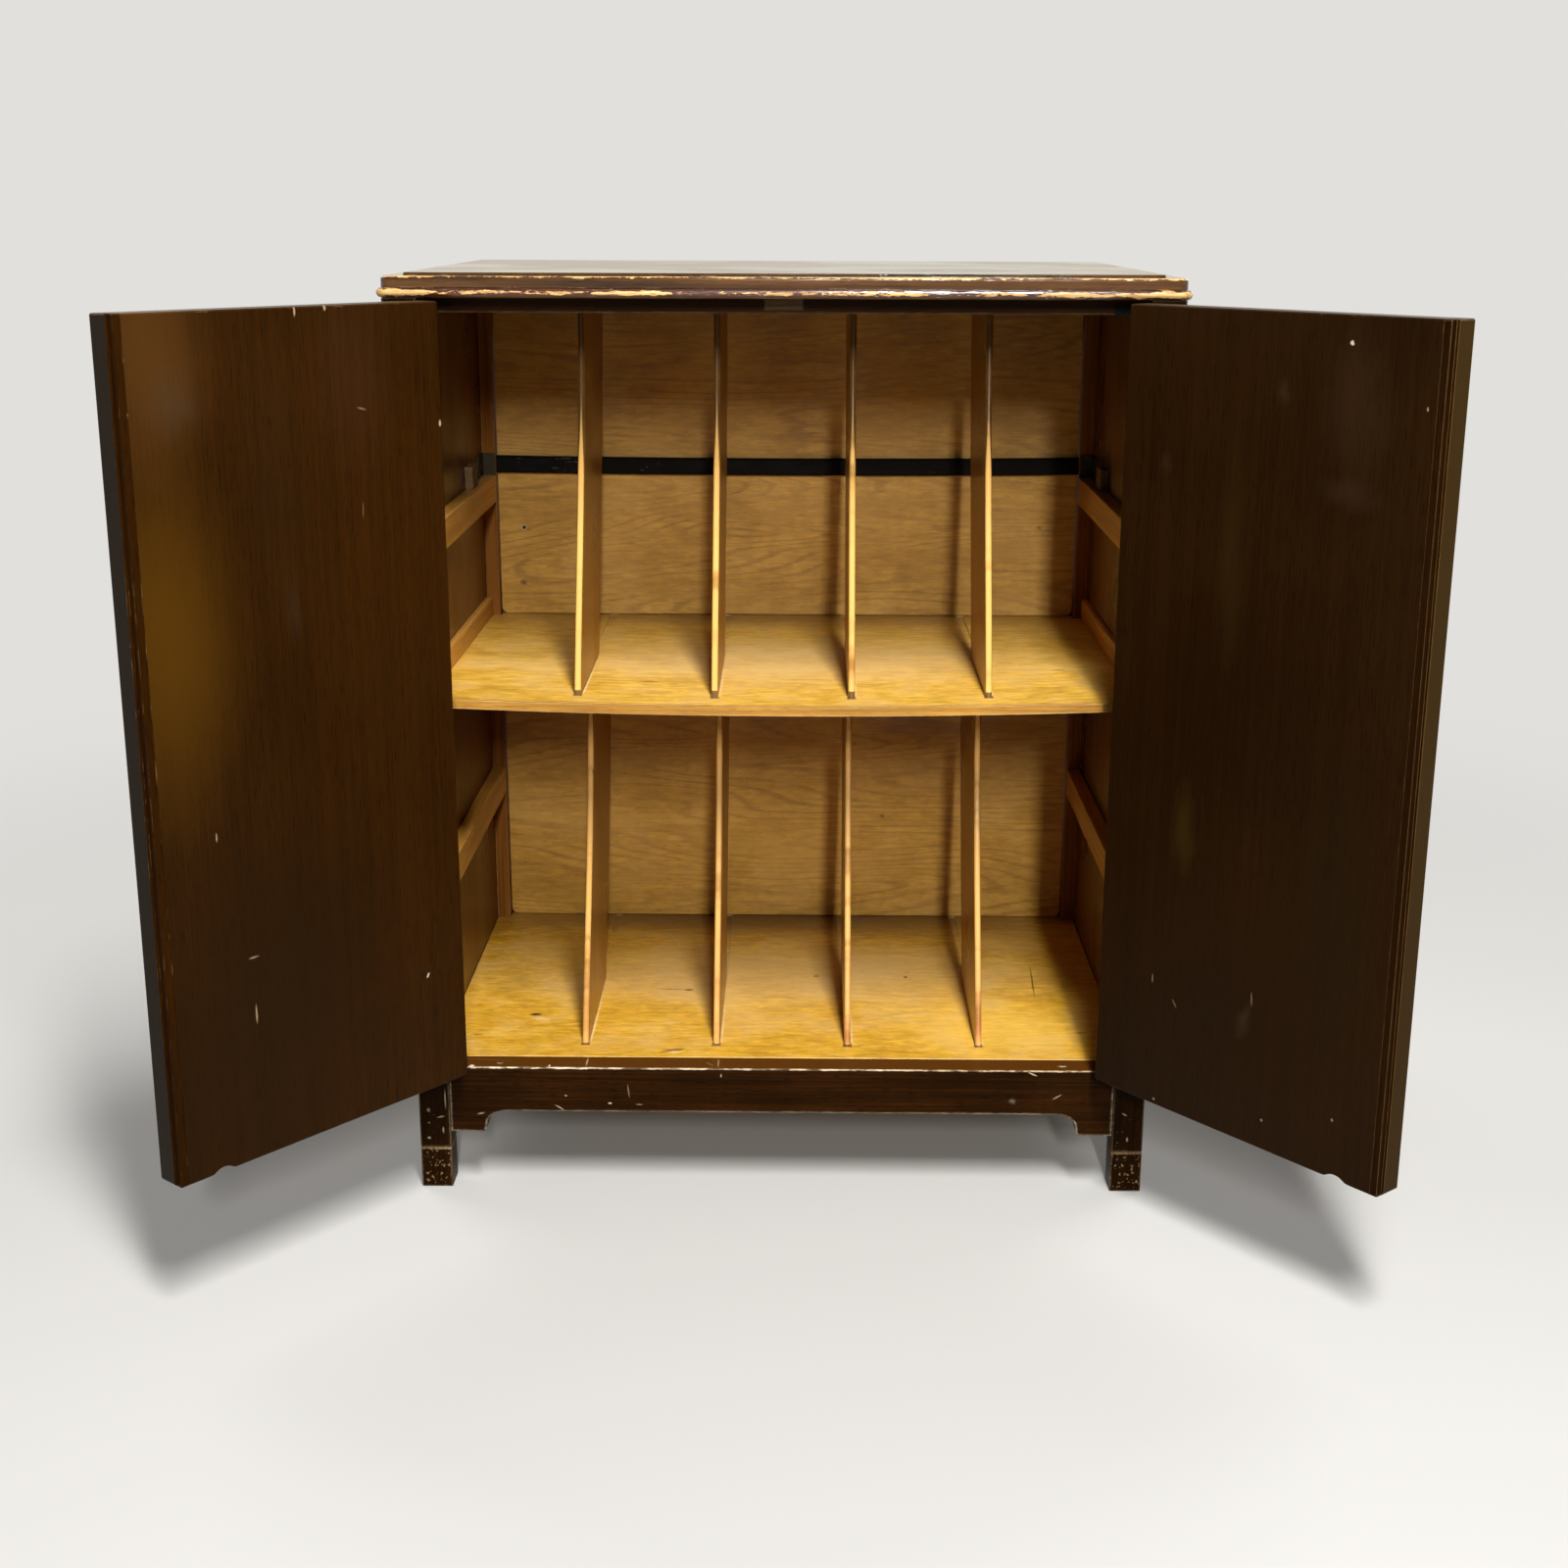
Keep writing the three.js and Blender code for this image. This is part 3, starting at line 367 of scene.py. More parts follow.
def marks(axis: int, level: float, depth: float, *rows: tuple) -> tuple[Patch, ...]:
    """Makes the patches of one flat face.

    Args:
        axis: The axis that the face looks along, 0 to 2.
        level: Where the face is on that axis.
        depth: How far the patches reach in from the face.
        rows: Each patch's place and half size on the face, then its paint and the rest.

    Returns:
        The patches.
    """
    patches = []
    for first, second, wide, tall, *rest in rows:
        centre, size = [first, second], [wide, tall]
        centre.insert(axis, level)
        size.insert(axis, depth)
        patches.append(Patch(tuple(centre), tuple(size), *rest))
    return tuple(patches)


def upright(*rows: tuple) -> tuple[Patch, ...]:
    """Makes the patches of an upright face from their place, half width and height, and the rest."""
    return tuple(Patch((x, y, z), (wide, wide, tall), *rest) for x, y, z, wide, tall, *rest in rows)


@dataclass(frozen=True)
class Wood:
    """A timber surface: its colours, figure, polish and wear."""

    name: str
    slot: str
    light: Paint
    dark: Paint
    bare: Paint
    across: float = 420.0
    along: float = 9.0
    figure: float = 0.0
    figure_lines: float = 26.0
    figure_across: float = 12.0
    figure_along: float = 1.5
    figure_paint: Paint = (120, 80, 34)
    flecks: float = 0.0
    pores: float = 0.35
    pore_across: float = 1500.0
    pore_along: float = 90.0
    clouds: float = 0.25
    cloud_size: float = 0.11
    haze: Paint = (150, 135, 110)
    hazed: float = 0.0
    gloss: tuple[float, float] = (0.35, 0.5)
    specular: float = 0.4
    sheen: Paint = (255, 255, 255)
    worn: float = 0.4
    worn_width: float = 0.0012
    scratches: float = 0.15
    nicks: float = 0.1
    scratch_paint: Paint = (150, 120, 85)
    scratch_show: float = 0.7
    relief: float = 0.00008
    patches: tuple[Patch, ...] = ()

    def figured(self, graph: Graph, grain: Grain) -> tuple[Socket, Socket]:
        """Draws the grain: streaks, thin wavy figure and pores.

        Args:
            graph: The material.
            grain: The way that the grain runs.

        Returns:
            The colour, and the height of the grain.
        """
        streaks = graph.cloud(grain.stretch(self.across, self.along), 3.0, 0.6)
        wide = graph.cloud(grain.stretch(self.across / 7, self.along / 3))
        both = graph.math("ADD", graph.product(streaks, 0.55), graph.product(wide, 0.45))
        colour = graph.mix(graph.fade(both, 0.36, 0.64), linear(self.dark), linear(self.light))
        height = both
        if self.figure:
            stretch = grain.stretch(self.figure_across, self.figure_along)
            hills = graph.cloud(stretch, 2.0, 0.35, 0.2, (1.0, 4.0, 7.0))
            fine = graph.product(graph.math("SUBTRACT", streaks, 0.5), 0.02)
            line = graph.fade(graph.waves(graph.math("ADD", hills, fine), self.figure_lines), 0.35, 1.0)
            strength = graph.product(graph.fade(wide, 0.35, 0.6, 0.25, 1.0), self.figure)
            colour = graph.mix(graph.product(line, strength), colour, linear(self.figure_paint))
            height = graph.math("SUBTRACT", height, graph.product(line, 0.2))
        if self.flecks:
            spots = graph.cloud(grain.stretch(170.0, 62.0), 3.0, 0.62, 0.4)
            tone = graph.fade(spots, 0.34, 0.66, 1 - self.flecks, 1 + self.flecks * 0.5)
            colour = graph.lit(colour, tone)
        if self.pores:
            stretch = grain.stretch(self.pore_across, self.pore_along)
            open_pore = graph.fade(graph.cloud(stretch, 0.0), 0.58, 0.72)
            share = graph.product(open_pore, self.pores)
            colour = graph.mix(share, colour, linear(self.dark), "MULTIPLY")
            height = graph.math("SUBTRACT", height, graph.product(open_pore, 0.5))
        return colour, height

    def toned(self, graph: Graph, colour: Socket) -> Socket:
        """Changes the colour where a part of the board has another finish; here nowhere."""
        return colour

    def covered(self, graph: Graph, colour: Socket) -> Socket:
        """Covers a part of the board with another wood; here nowhere."""
        return colour

    def rubbed(self, graph: Graph) -> Socket:
        """Finds where the finish is worn off at the edges.

        Args:
            graph: The material.

        Returns:
            From 0, whole, to 1, bare.
        """
        patchy = graph.cloud((60.0, 60.0, 60.0), 4.0, 0.68)
        arris = graph.arris(self.worn_width)
        level = graph.math("ADD", graph.product(arris, 0.55), patchy)
        edge = 1.12 - self.worn * 0.5
        bare = graph.fade(level, edge - 0.05, edge + 0.06)
        return graph.product(graph.fade(arris, 0.05, 0.25), bare)

    def scratched(self, graph: Graph) -> Socket:
        """Finds fine scratches and small nicks.

        Args:
            graph: The material.

        Returns:
            From 0, none, to 1.
        """
        long = graph.strokes(0.075, 0.5, 0.0065, self.scratches)
        short = graph.strokes(0.024, 0.24, 0.04, self.nicks, 3.7)
        return graph.math("MAXIMUM", graph.product(long, 0.7), short)

    def material(self, grain: Grain, name: str = "") -> bpy.types.Material:
        """Makes the surface's material.

        Args:
            grain: The way that the grain runs.
            name: The material's name, where it isn't the finish's own.

        Returns:
            The material.
        """
        graph = Graph(name or f"{self.name}_{grain.name.lower()}")
        colour, height = self.figured(graph, grain)
        clouds = graph.cloud((1 / self.cloud_size,) * 3, shift=(9.0, 2.0, 4.0))
        shade = graph.fade(clouds, 0.28, 0.72, 1 - self.clouds, 1 + self.clouds * 0.6)
        colour = self.toned(graph, graph.lit(colour, shade))
        if self.hazed:
            share = graph.fade(clouds, 0.42, 0.66, 0.0, self.hazed)
            colour = graph.mix(share, colour, linear(self.haze))
        for patch in self.patches:
            mask = patch.mask(graph)
            colour = graph.mix(mask, colour, linear(patch.paint))
            if patch.sunk:
                height = graph.math("SUBTRACT", height, graph.product(mask, patch.sunk))
        colour = self.covered(graph, colour)
        rubbed = self.rubbed(graph)
        marks = graph.product(self.scratched(graph), self.scratch_show)
        colour = graph.mix(marks, colour, linear(self.scratch_paint))
        deep = shared(self.bare, (0.62, 0.52, 0.4))
        bare = graph.mix(graph.fade(height, 0.35, 0.62), deep, linear(self.bare))
        colour = graph.mix(rubbed, colour, bare)
        cut = graph.math("MAXIMUM", rubbed, marks)
        rough = graph.fade(clouds, 0.3, 0.7, *self.gloss)
        rough = graph.math("ADD", rough, graph.product(cut, 0.3), clamp=True)
        height = graph.math("SUBTRACT", height, graph.product(cut, 0.8))
        graph.shade("Specular Tint", linear(self.sheen))
        return graph.finish(colour, rough, self.specular, height, self.relief, 0.0007)


@dataclass(frozen=True)
class PostWood(Wood):
    """A corner post, stained dark outside and left honey coloured inside the case."""

    inside_width: float = 0.3212
    inside_back: float = 0.3290
    inside_front: float = -0.060
    inside_low: float = 0.115
    honey: Paint = (138, 88, 36)
    chipped: float = 0.036
    groove: float = 0.0378

    def toned(self, graph: Graph, colour: Socket) -> Socket:
        """Colours the faces that look into the case.

        Args:
            graph: The material.
            colour: The stained colour.

        Returns:
            The colour with the honey coloured inside.
        """
        x, y, z = graph.axes()
        inner = graph.math("LESS_THAN", graph.math("ABSOLUTE", x), self.inside_width)
        ahead = graph.math("LESS_THAN", y, self.inside_back)
        behind = graph.math("GREATER_THAN", y, self.inside_front)
        high = graph.math("GREATER_THAN", z, self.inside_low)
        inside = graph.product(inner, ahead, behind, high)
        streak = graph.cloud((520.0, 520.0, 8.0), 3.0, 0.6)
        brown = shared(self.honey, (0.7, 0.62, 0.5))
        streaked = graph.mix(graph.fade(streak, 0.36, 0.64), brown, linear(self.honey))
        return graph.mix(inside, colour, streaked)

    def rubbed(self, graph: Graph) -> Socket:
        """Adds the small chips of the foot blocks.

        Args:
            graph: The material.

        Returns:
            From 0, whole, to 1, bare.
        """
        z = graph.axes()[2]
        chips = graph.cloud((330.0, 330.0, 260.0), 3.0, 0.6)
        start = graph.fade(z, self.chipped, self.chipped + 0.004, 0.6, 0.68)
        chipped = graph.fade(graph.math("SUBTRACT", chips, start), 0.0, 0.025)
        near = graph.fade(z, self.chipped + 0.03, self.chipped + 0.05, 1.0, 0.0)
        groove = graph.fade(graph.off(z, self.groove), 0.0005, 0.0012, 1.0, 0.0)
        groove = graph.product(groove, graph.fade(chips, 0.36, 0.5, 0.2, 0.75))
        worn = graph.math("MAXIMUM", super().rubbed(graph), graph.product(chipped, near, 0.75))
        return graph.math("MAXIMUM", worn, groove)


@dataclass(frozen=True)
class ApronWood(Wood):
    """The apron's stained wood, with a browner top face and pale worn lines along its edges."""

    top: float = 0.118
    front: float = -0.09738
    top_paint: Paint = (92, 53, 13)

    def toned(self, graph: Graph, colour: Socket) -> Socket:
        """Colours the top face browner."""
        upper = graph.fade(graph.axes()[2], self.top - 0.0006, self.top - 0.0002)
        return graph.mix(graph.product(upper, 0.85), colour, linear(self.top_paint))

    def rubbed(self, graph: Graph) -> Socket:
        """Adds the bright line along the top front arris and the broken one along the lower edge.

        Args:
            graph: The material.

        Returns:
            From 0, whole, to 1, bare.
        """
        ragged = graph.math("SUBTRACT", graph.cloud((70.0, 260.0, 260.0), 4.0, 0.7), 0.5)
        _, y, z = graph.axes()
        down = graph.math("SUBTRACT", self.top, z)
        back = graph.math("SUBTRACT", y, self.front)
        reach = graph.math("ADD", graph.math("ADD", down, back), graph.product(ragged, 0.004))
        line = graph.fade(reach, 0.0005, 0.0011, 1.0, 0.0)
        broken = graph.fade(ragged, -0.08, 0.06, 0.25, 0.9)
        below = graph.fade(down, 0.012, 0.016)
        edge = graph.product(graph.fade(graph.arris(0.0026), 0.02, 0.12), broken, below)
        usual = graph.product(super().rubbed(graph), 0.6)
        return graph.math("MAXIMUM", graph.math("MAXIMUM", usual, edge), line)


@dataclass(frozen=True)
class DoorWood(Wood):
    """A door's wood: plain stain inside, and a figured veneer on the face that shows when shut."""

    pivot: Point = (0.0, 0.0, 0.0)
    inward: Point = (0.0, 1.0, 0.0)
    outer: float = 0.0038
    veneer_light: Paint = (64, 35, 11)
    veneer_dark: Paint = (48, 24, 7)
    veneer_lines: float = 22.0

    def covered(self, graph: Graph, colour: Socket) -> Socket:
        """Lays the figured veneer on the outer face.

        Args:
            graph: The material.
            colour: The stained and marked colour.

        Returns:
            The colour with the veneer's figure.
        """
        off = graph.vector("SUBTRACT", graph.place, self.pivot)
        depth = graph.dot(off, self.inward)
        outer = graph.fade(depth, self.outer, self.outer + 0.001, 1.0, 0.0)
        hills = graph.cloud((7.0, 7.0, 1.3), 2.0, 0.4, 0.3, (3.0, 1.0, 2.0))
        waves = graph.fade(graph.waves(hills, self.veneer_lines), -0.6, 1.0, 0.0, 0.55)
        fine = graph.fade(graph.cloud((700.0, 700.0, 9.0), 2.0, 0.5), 0.35, 0.65, 0.0, 0.45)
        streak = graph.math("ADD", waves, fine)
        veneer = graph.mix(streak, linear(self.veneer_light), linear(self.veneer_dark))
        return graph.mix(outer, colour, veneer)


@dataclass(frozen=True)
class StripWood(DoorWood):
    """A door's edge strip: stained as the door is, with its own tone on the door's free edge."""

    away: Point = (1.0, 0.0, 0.0)
    reach: float = 0.3
    edge_paint: Paint = (70, 50, 24)

    def toned(self, graph: Graph, colour: Socket) -> Socket:
        """Colours the free edge.

        Args:
            graph: The material.
            colour: The stained colour.

        Returns:
            The colour with the free edge's own tone.
        """
        off = graph.vector("SUBTRACT", graph.place, self.pivot)
        along = graph.dot(off, self.away)
        outer = graph.fade(along, self.reach - 0.0007, self.reach - 0.0002)
        return graph.mix(outer, colour, linear(self.edge_paint))


@dataclass(frozen=True)
class DividerWood(Wood):
    """A divider's varnished plywood, pale on its narrow edges and redder near its foot, with painted shade
    on the top of those edges and a painted contact shadow under their front tip.
    """

    spacing: float = 0.1212
    half: float = 0.0028
    edge_paint: Paint = (242, 186, 100)
    # Painted shade on the edges' top: its colour, the heights where it starts and where it is full, and
    # the share of the pale edge still lit under it.
    overhang_shade: Paint = (112, 76, 34)
    shade_start: float = 0.60
    shade_full: float = 0.715
    lit_share_in_shade: float = 0.0
    foot: float = 0.118
    foot_paint: Paint = (178, 108, 50)
    base: float = 0.118
    # Painted contact shadow under the front tip of the edge.
    contact_shade: Paint = (50, 30, 12)

    def toned(self, graph: Graph, colour: Socket) -> Socket:
        """Colours the narrow edges and the foot, and paints shade on the edges' top and a contact shadow
        at their tip.

        Args:
            graph: The material.
            colour: The varnished colour.

        Returns:
            The colour with its pale edges, the painted shade at their top, its darker foot and the painted
            shadow at the tip.
        """
        x, _, z = graph.axes()
        pair = graph.math("SUBTRACT", graph.math("ABSOLUTE", x), self.spacing)
        offset = graph.math("SUBTRACT", graph.math("ABSOLUTE", pair), self.spacing / 2)
        edge = graph.fade(graph.math("ABSOLUTE", offset), self.half - 0.0004, self.half, 1.0, 0.0)
        stains = graph.cloud((9.0, 60.0, 14.0), 3.0, 0.6)
        pale = graph.mix(graph.fade(stains, 0.5, 0.72), linear(self.edge_paint), linear(self.light))
        # Painted shade: higher up, the pale edge narrows to a thin lit line, standing in for the shadow of
        # the overhanging top.
        share = graph.fade(z, self.shade_start, self.shade_full, 1.0, self.lit_share_in_shade)
        share = graph.product(share, self.half * 1.3)
        middle = graph.math("SUBTRACT", graph.math("ABSOLUTE", offset), share)
        pale = graph.mix(graph.fade(middle, -0.0006, 0.0004), pale, linear(self.overhang_shade))
        colour = graph.mix(edge, colour, pale)
        low = graph.fade(z, self.foot, self.foot + 0.09, 0.75, 0.0)
        worn = graph.product(low, graph.fade(stains, 0.36, 0.6))
        colour = graph.mix(graph.product(worn, edge), colour, linear(self.foot_paint))
        # Painted shadow: a dark line at the very foot of the front edge, where it meets the board below.
        tip = graph.fade(z, self.base + 0.0006, self.base + 0.0012, 0.85, 0.0)
        return graph.mix(graph.product(tip, edge), colour, linear(self.contact_shade))


@dataclass(frozen=True)
class ShelfWood(Wood):
    """The plywood that the dividers stand on, with a painted line of bounced light beside each divider and
    a painted contact shadow at its front end.
    """

    pitch: float = 0.1212
    half: float = 0.003
    front: float = -0.0424
    # Painted light: the colour of the line of light bounced off each divider.
    glow: Paint = (255, 226, 168)
    # Painted contact shadow at each divider's front tip.
    contact_shade: Paint = (54, 34, 14)

    def toned(self, graph: Graph, colour: Socket) -> Socket:
        """Paints a pale line of bounced light beside each divider and a contact shadow at its front end.

        Args:
            graph: The material.
            colour: The plywood's colour.

        Returns:
            The colour with the painted light and shadow.
        """
        x, y, _ = graph.axes()
        share = graph.math("FRACT", graph.product(x, 1 / self.pitch))
        offset = graph.product(graph.math("SUBTRACT", share, 0.5), self.pitch)
        behind = graph.math("SUBTRACT", y, self.front)
        ragged = graph.cloud((60.0, 60.0, 60.0), 3.0, 0.6)
        reach = graph.fade(behind, 0.05, 0.15, 1.0, 0.0)
        start = graph.fade(offset, self.half + 0.0002, self.half + 0.0007)
        line = graph.product(start, graph.fade(offset, self.half + 0.0012, self.half + 0.0030, 1.0, 0.0))
        between = graph.math("LESS_THAN", graph.math("ABSOLUTE", x), self.pitch * 2)
        line = graph.product(line, reach, between, graph.fade(behind, 0.0, 0.008))
        line = graph.product(line, graph.fade(ragged, 0.3, 0.6, 0.25, 0.7))
        # Painted light: the pale line beside each divider stands for light bounced off its face.
        colour = graph.mix(line, colour, linear(self.glow))
        # Painted shadow: a dark spot at each divider's front tip.
        wide = self.half + 0.0006
        wide = graph.fade(graph.math("ABSOLUTE", offset), wide, wide + 0.0012, 1.0, 0.0)
        tip = graph.product(wide, graph.fade(behind, -0.0034, -0.0018))
        tip = graph.product(tip, graph.fade(behind, 0.004, 0.008, 1.0, 0.0))
        return graph.mix(graph.product(tip, 0.85), colour, linear(self.contact_shade))


@dataclass(frozen=True)
class TopWood(Wood):
    """The lacquered top board, whose lower step is worn pale along its outer edge."""

    step_top: float = 0.8106
    band: float = 0.0009
    front: float = -0.0984
    half_width: float = 0.329

    def rubbed(self, graph: Graph) -> Socket:
        """Adds the ragged pale band along the lower step's edge.

        Args:
            graph: The material.

        Returns:
            From 0, whole, to 1, bare.
        """
        x, y, z = graph.axes()
        ragged = graph.math("SUBTRACT", graph.cloud((190.0, 190.0, 300.0), 4.0, 0.75), 0.5)
        slow = graph.math("SUBTRACT", graph.cloud((26.0, 26.0, 3.0), 2.0, 0.6), 0.5)
        lift = graph.math("ADD", graph.product(ragged, 0.0066), graph.product(slow, 0.0052))
        level = graph.math("ADD", z, lift)
        low = self.step_top - self.band
        above = graph.fade(level, low - 0.0004, low + 0.0006)
        below = graph.fade(z, self.step_top + 0.0002, self.step_top + 0.0006, 1.0, 0.0)
        side = graph.math("SUBTRACT", self.half_width, graph.math("ABSOLUTE", x))
        ahead = graph.math("SUBTRACT", y, self.front)
        inside = graph.math("MINIMUM", side, ahead)
        inside = graph.math("ADD", inside, graph.product(ragged, 0.008))
        near = graph.fade(inside, 0.0018, 0.004, 1.0, 0.0)
        return graph.math("MAXIMUM", super().rubbed(graph), graph.product(above, below, near))


@dataclass(frozen=True)
class BeadWood(Wood):
    """The round bead under the top: rubbed bare on one side and chipped along the other."""

    bare_until: float = 0.095
    corner: float = 0.305
    middle: float = 0.7976

    def rubbed(self, graph: Graph) -> Socket:
        """Finds the bare stretches of the bead.

        Args:
            graph: The material.

        Returns:
            From 0, whole, to 1, bare.
        """
        x, _, z = graph.axes()
        ragged = graph.cloud((74.0, 74.0, 230.0), 4.0, 0.75)
        sweep = graph.cloud((13.0, 13.0, 5.0))
        sweep = graph.product(graph.math("SUBTRACT", sweep, 0.5), 0.75)
        bare_side = graph.fade(x, self.bare_until - 0.03, self.bare_until + 0.02, 0.0, -0.2)
        end = graph.fade(graph.math("ABSOLUTE", x), self.corner - 0.05, self.corner + 0.01, 0.0, 0.34)
        ragged = graph.math("ADD", graph.product(graph.math("SUBTRACT", ragged, 0.5), 1.5), 0.5)
        crown = graph.fade(graph.off(z, self.middle), 0.0004, 0.0034, 0.07, -0.36)
        ends = graph.math("ADD", crown, graph.math("MAXIMUM", bare_side, end))
        level = graph.math("ADD", graph.math("ADD", ragged, sweep), ends)
        return graph.fade(level, 0.5, 0.56)


@dataclass(frozen=True)
class Metal:
    """A metal fitting's finish, dulled and stained with age."""

    name: str
    slot: str
    light: Paint
    dark: Paint
    stain: Paint
    rough: tuple[float, float] = (0.32, 0.55)
    stained: float = 0.4
    metallic: float = 1.0
    specular: float = 0.5

    def material(self) -> bpy.types.Material:
        """Makes the metal's material.

        Returns:
            The material.
        """
        graph = Graph(self.name)
        brushed = graph.cloud((3000.0, 3000.0, 180.0), 3.0, 0.6)
        tarnish = graph.cloud((130.0, 130.0, 130.0), 5.0, 0.65)
        colour = graph.mix(graph.fade(brushed, 0.3, 0.7), linear(self.dark), linear(self.light))
        spots = graph.fade(tarnish, 0.72 - self.stained * 0.3, 0.8 - self.stained * 0.3)
        colour = graph.mix(spots, colour, linear(self.stain))
        rough = graph.fade(tarnish, 0.3, 0.7, *self.rough)
        rough = graph.math("ADD", rough, graph.product(spots, 0.2))
        graph.shade("Metallic", self.metallic)
        return graph.finish(colour, rough, self.specular, brushed, 0.00002, 0.0003)


@dataclass(frozen=True)
class Rubber:
    """The black buffer strip's finish, matt, with pale scuffs where records rubbed it."""

    name: str
    slot: str
    paint: Paint
    scuff: Paint

    def material(self) -> bpy.types.Material:
        """Makes the rubber's material.

        Returns:
            The material.
        """
        graph = Graph(self.name)
        cloud = graph.cloud((40.0, 90.0, 90.0), 5.0, 0.7)
        greyer = shared(self.paint, (2.1, 2.1, 2.1))
        colour = graph.mix(graph.fade(cloud, 0.3, 0.75), linear(self.paint), greyer)
        hair = graph.cloud((110.0, 800.0, 800.0), 2.0, 0.6)
        patch = graph.cloud((22.0, 30.0, 30.0), shift=(2.0, 0, 0))
        rubbed = graph.product(graph.fade(hair, 0.64, 0.72), graph.fade(patch, 0.55, 0.66))
        colour = graph.mix(graph.product(rubbed, 0.6), colour, linear(self.scuff))
        rough = graph.fade(cloud, 0.3, 0.7, 0.62, 0.85)
        return graph.finish(colour, rough, 0.12, hair, 0.0002, 0.0012)


KNOT: Paint = (74, 42, 14)
FLOOR_MARKS_AND_PAINTED_LIGHT = marks(
    2, 0.118, 0.05,
    # Painted shade: a dark band along the back of the floor, under the shelf.
    (0.0, 0.325, 0.5, 0.09, (86, 58, 20), 0.9, 0.9, 0.06),
    (0.0, 0.14, 0.36, 0.12, (218, 182, 122), 0.5, 0.8, 0.15),
    # Painted light: a brighter pool on the right of the floor, where the lamp falls from the right.
    (0.2, 0.0, 0.12, 0.09, (255, 206, 92), 0.55, 0.9, 0.12),
) + marks(
    2, 0.118, 0.01,
    (-0.2367, 0.0302, 0.0075, 0.0042, KNOT, 0.95, 0.6, 0.4, STILL, 0.5),
    (-0.23, 0.019, 0.013, 0.007, (250, 214, 150), 0.6, 0.8, 0.5, (0.0, 0.0, 0.4)),
    (-0.285, -0.021, 0.0085, 0.003, (150, 98, 36), 0.8, 0.7, 0.5),
    (-0.0936, 0.0978, 0.0065, 0.003, KNOT, 0.85, 0.6, 0.4, STILL, 0.5),
    (-0.111, 0.099, 0.02, 0.0032, (158, 108, 48), 0.6, 0.8, 0.5, (0.0, 0.0, 0.1)),
    (-0.1, -0.056, 0.015, 0.0045, (140, 92, 34), 0.85, 0.5, 0.7, (0.0, 0.0, -0.35)),
    (-0.098, -0.0595, 0.01, 0.003, (250, 214, 150), 0.8, 0.7, 0.4),
    (0.1227, 0.1372, 0.003, 0.003, KNOT, 0.9, 0.6, 0.3, STILL, 0.5),
    (0.0328, 0.1383, 0.004, 0.005, (120, 78, 30), 0.7, 0.7, 0.4),
    (0.2492, 0.127, 0.0011, 0.05, KNOT, 0.75, 0.5, 0.5, (0.0, 0.0, 0.05), 0.6),
    (0.2809, -0.007, 0.0085, 0.003, (150, 98, 36), 0.75, 0.7, 0.5),
)
SHELF_MARKS_AND_PAINTED_SHADE = marks(
    2, 0.452, 0.05,
    # Painted shade: a dark band along the back of the shelf, under the top.
    (0.0, 0.325, 0.5, 0.08, (122, 84, 36), 0.7, 0.9, 0.06),
) + marks(
    2, 0.452, 0.01,
    (0.0, -0.0636, 0.5, 0.0013, (150, 98, 36), 0.75, 0.5, 0.1),
) + marks(
    2, 0.452, 0.05,
    (0.0, 0.11, 0.34, 0.13, (226, 192, 134), 0.5, 0.8, 0.15),
) + marks(
    2, 0.452, 0.01,
    (-0.125, 0.019, 0.014, 0.0035, (150, 98, 36), 0.75, 0.7, 0.6),
    (0.255, 0.065, 0.01, 0.0022, KNOT, 0.7, 0.7, 0.5),
)
CHIP: Paint = (206, 184, 148)
APRON_MARKS = marks(
    1, -0.0974, 0.01,
    (-0.1378, 0.0957, 0.0007, 0.0085, CHIP, 0.35, 0.6, 0.15, (0.0, 0.12, 0.0)),
    (-0.2003, 0.0791, 0.0058, 0.0007, CHIP, 0.75, 0.5, 0.2, (0.0, -0.55, 0.0)),
    (-0.1547, 0.0836, 0.0021, 0.001, (226, 210, 182), 0.9, 0.6, 0.7),
    (-0.1945, 0.0907, 0.0016, 0.001, CHIP, 0.6, 0.6, 0.4),
    (-0.2718, 0.0728, 0.0042, 0.0011, CHIP, 0.5, 0.7, 0.5, (0.0, 0.2, 0.0)),
    (-0.0541, 0.1112, 0.0009, 0.0022, CHIP, 0.7),
    (-0.1281, 0.0826, 0.004, 0.0008, CHIP, 0.4, 0.7, 0.5),
    (0.2262, 0.1148, 0.0054, 0.0009, CHIP, 0.8, 0.5, 0.2, (0.0, -0.4, 0.0)),
    (0.249, 0.0928, 0.0058, 0.0008, CHIP, 0.6, 0.6, 0.2, (0.0, 0.55, 0.0)),
    (0.2088, 0.0882, 0.004, 0.0034, CHIP, 0.2, 0.8, 0.6),
) + marks(
    2, 0.118, 0.004,
    (-0.2544, -0.0875, 0.0034, 0.0022, CHIP, 0.75, 0.6, 0.5),
    (-0.2092, -0.0935, 0.0012, 0.003, (240, 226, 200), 0.9, 0.5),
    (-0.176, -0.084, 0.0012, 0.012, CHIP, 0.5, 0.7, 0.2),
    (-0.057, -0.084, 0.0011, 0.012, CHIP, 0.35, 0.7, 0.2),
    (0.2542, -0.0868, 0.005, 0.002, CHIP, 0.8, 0.6, 0.6),
    (-0.279, -0.0945, 0.003, 0.003, (240, 226, 200), 0.9, 0.5, 0.4),
)
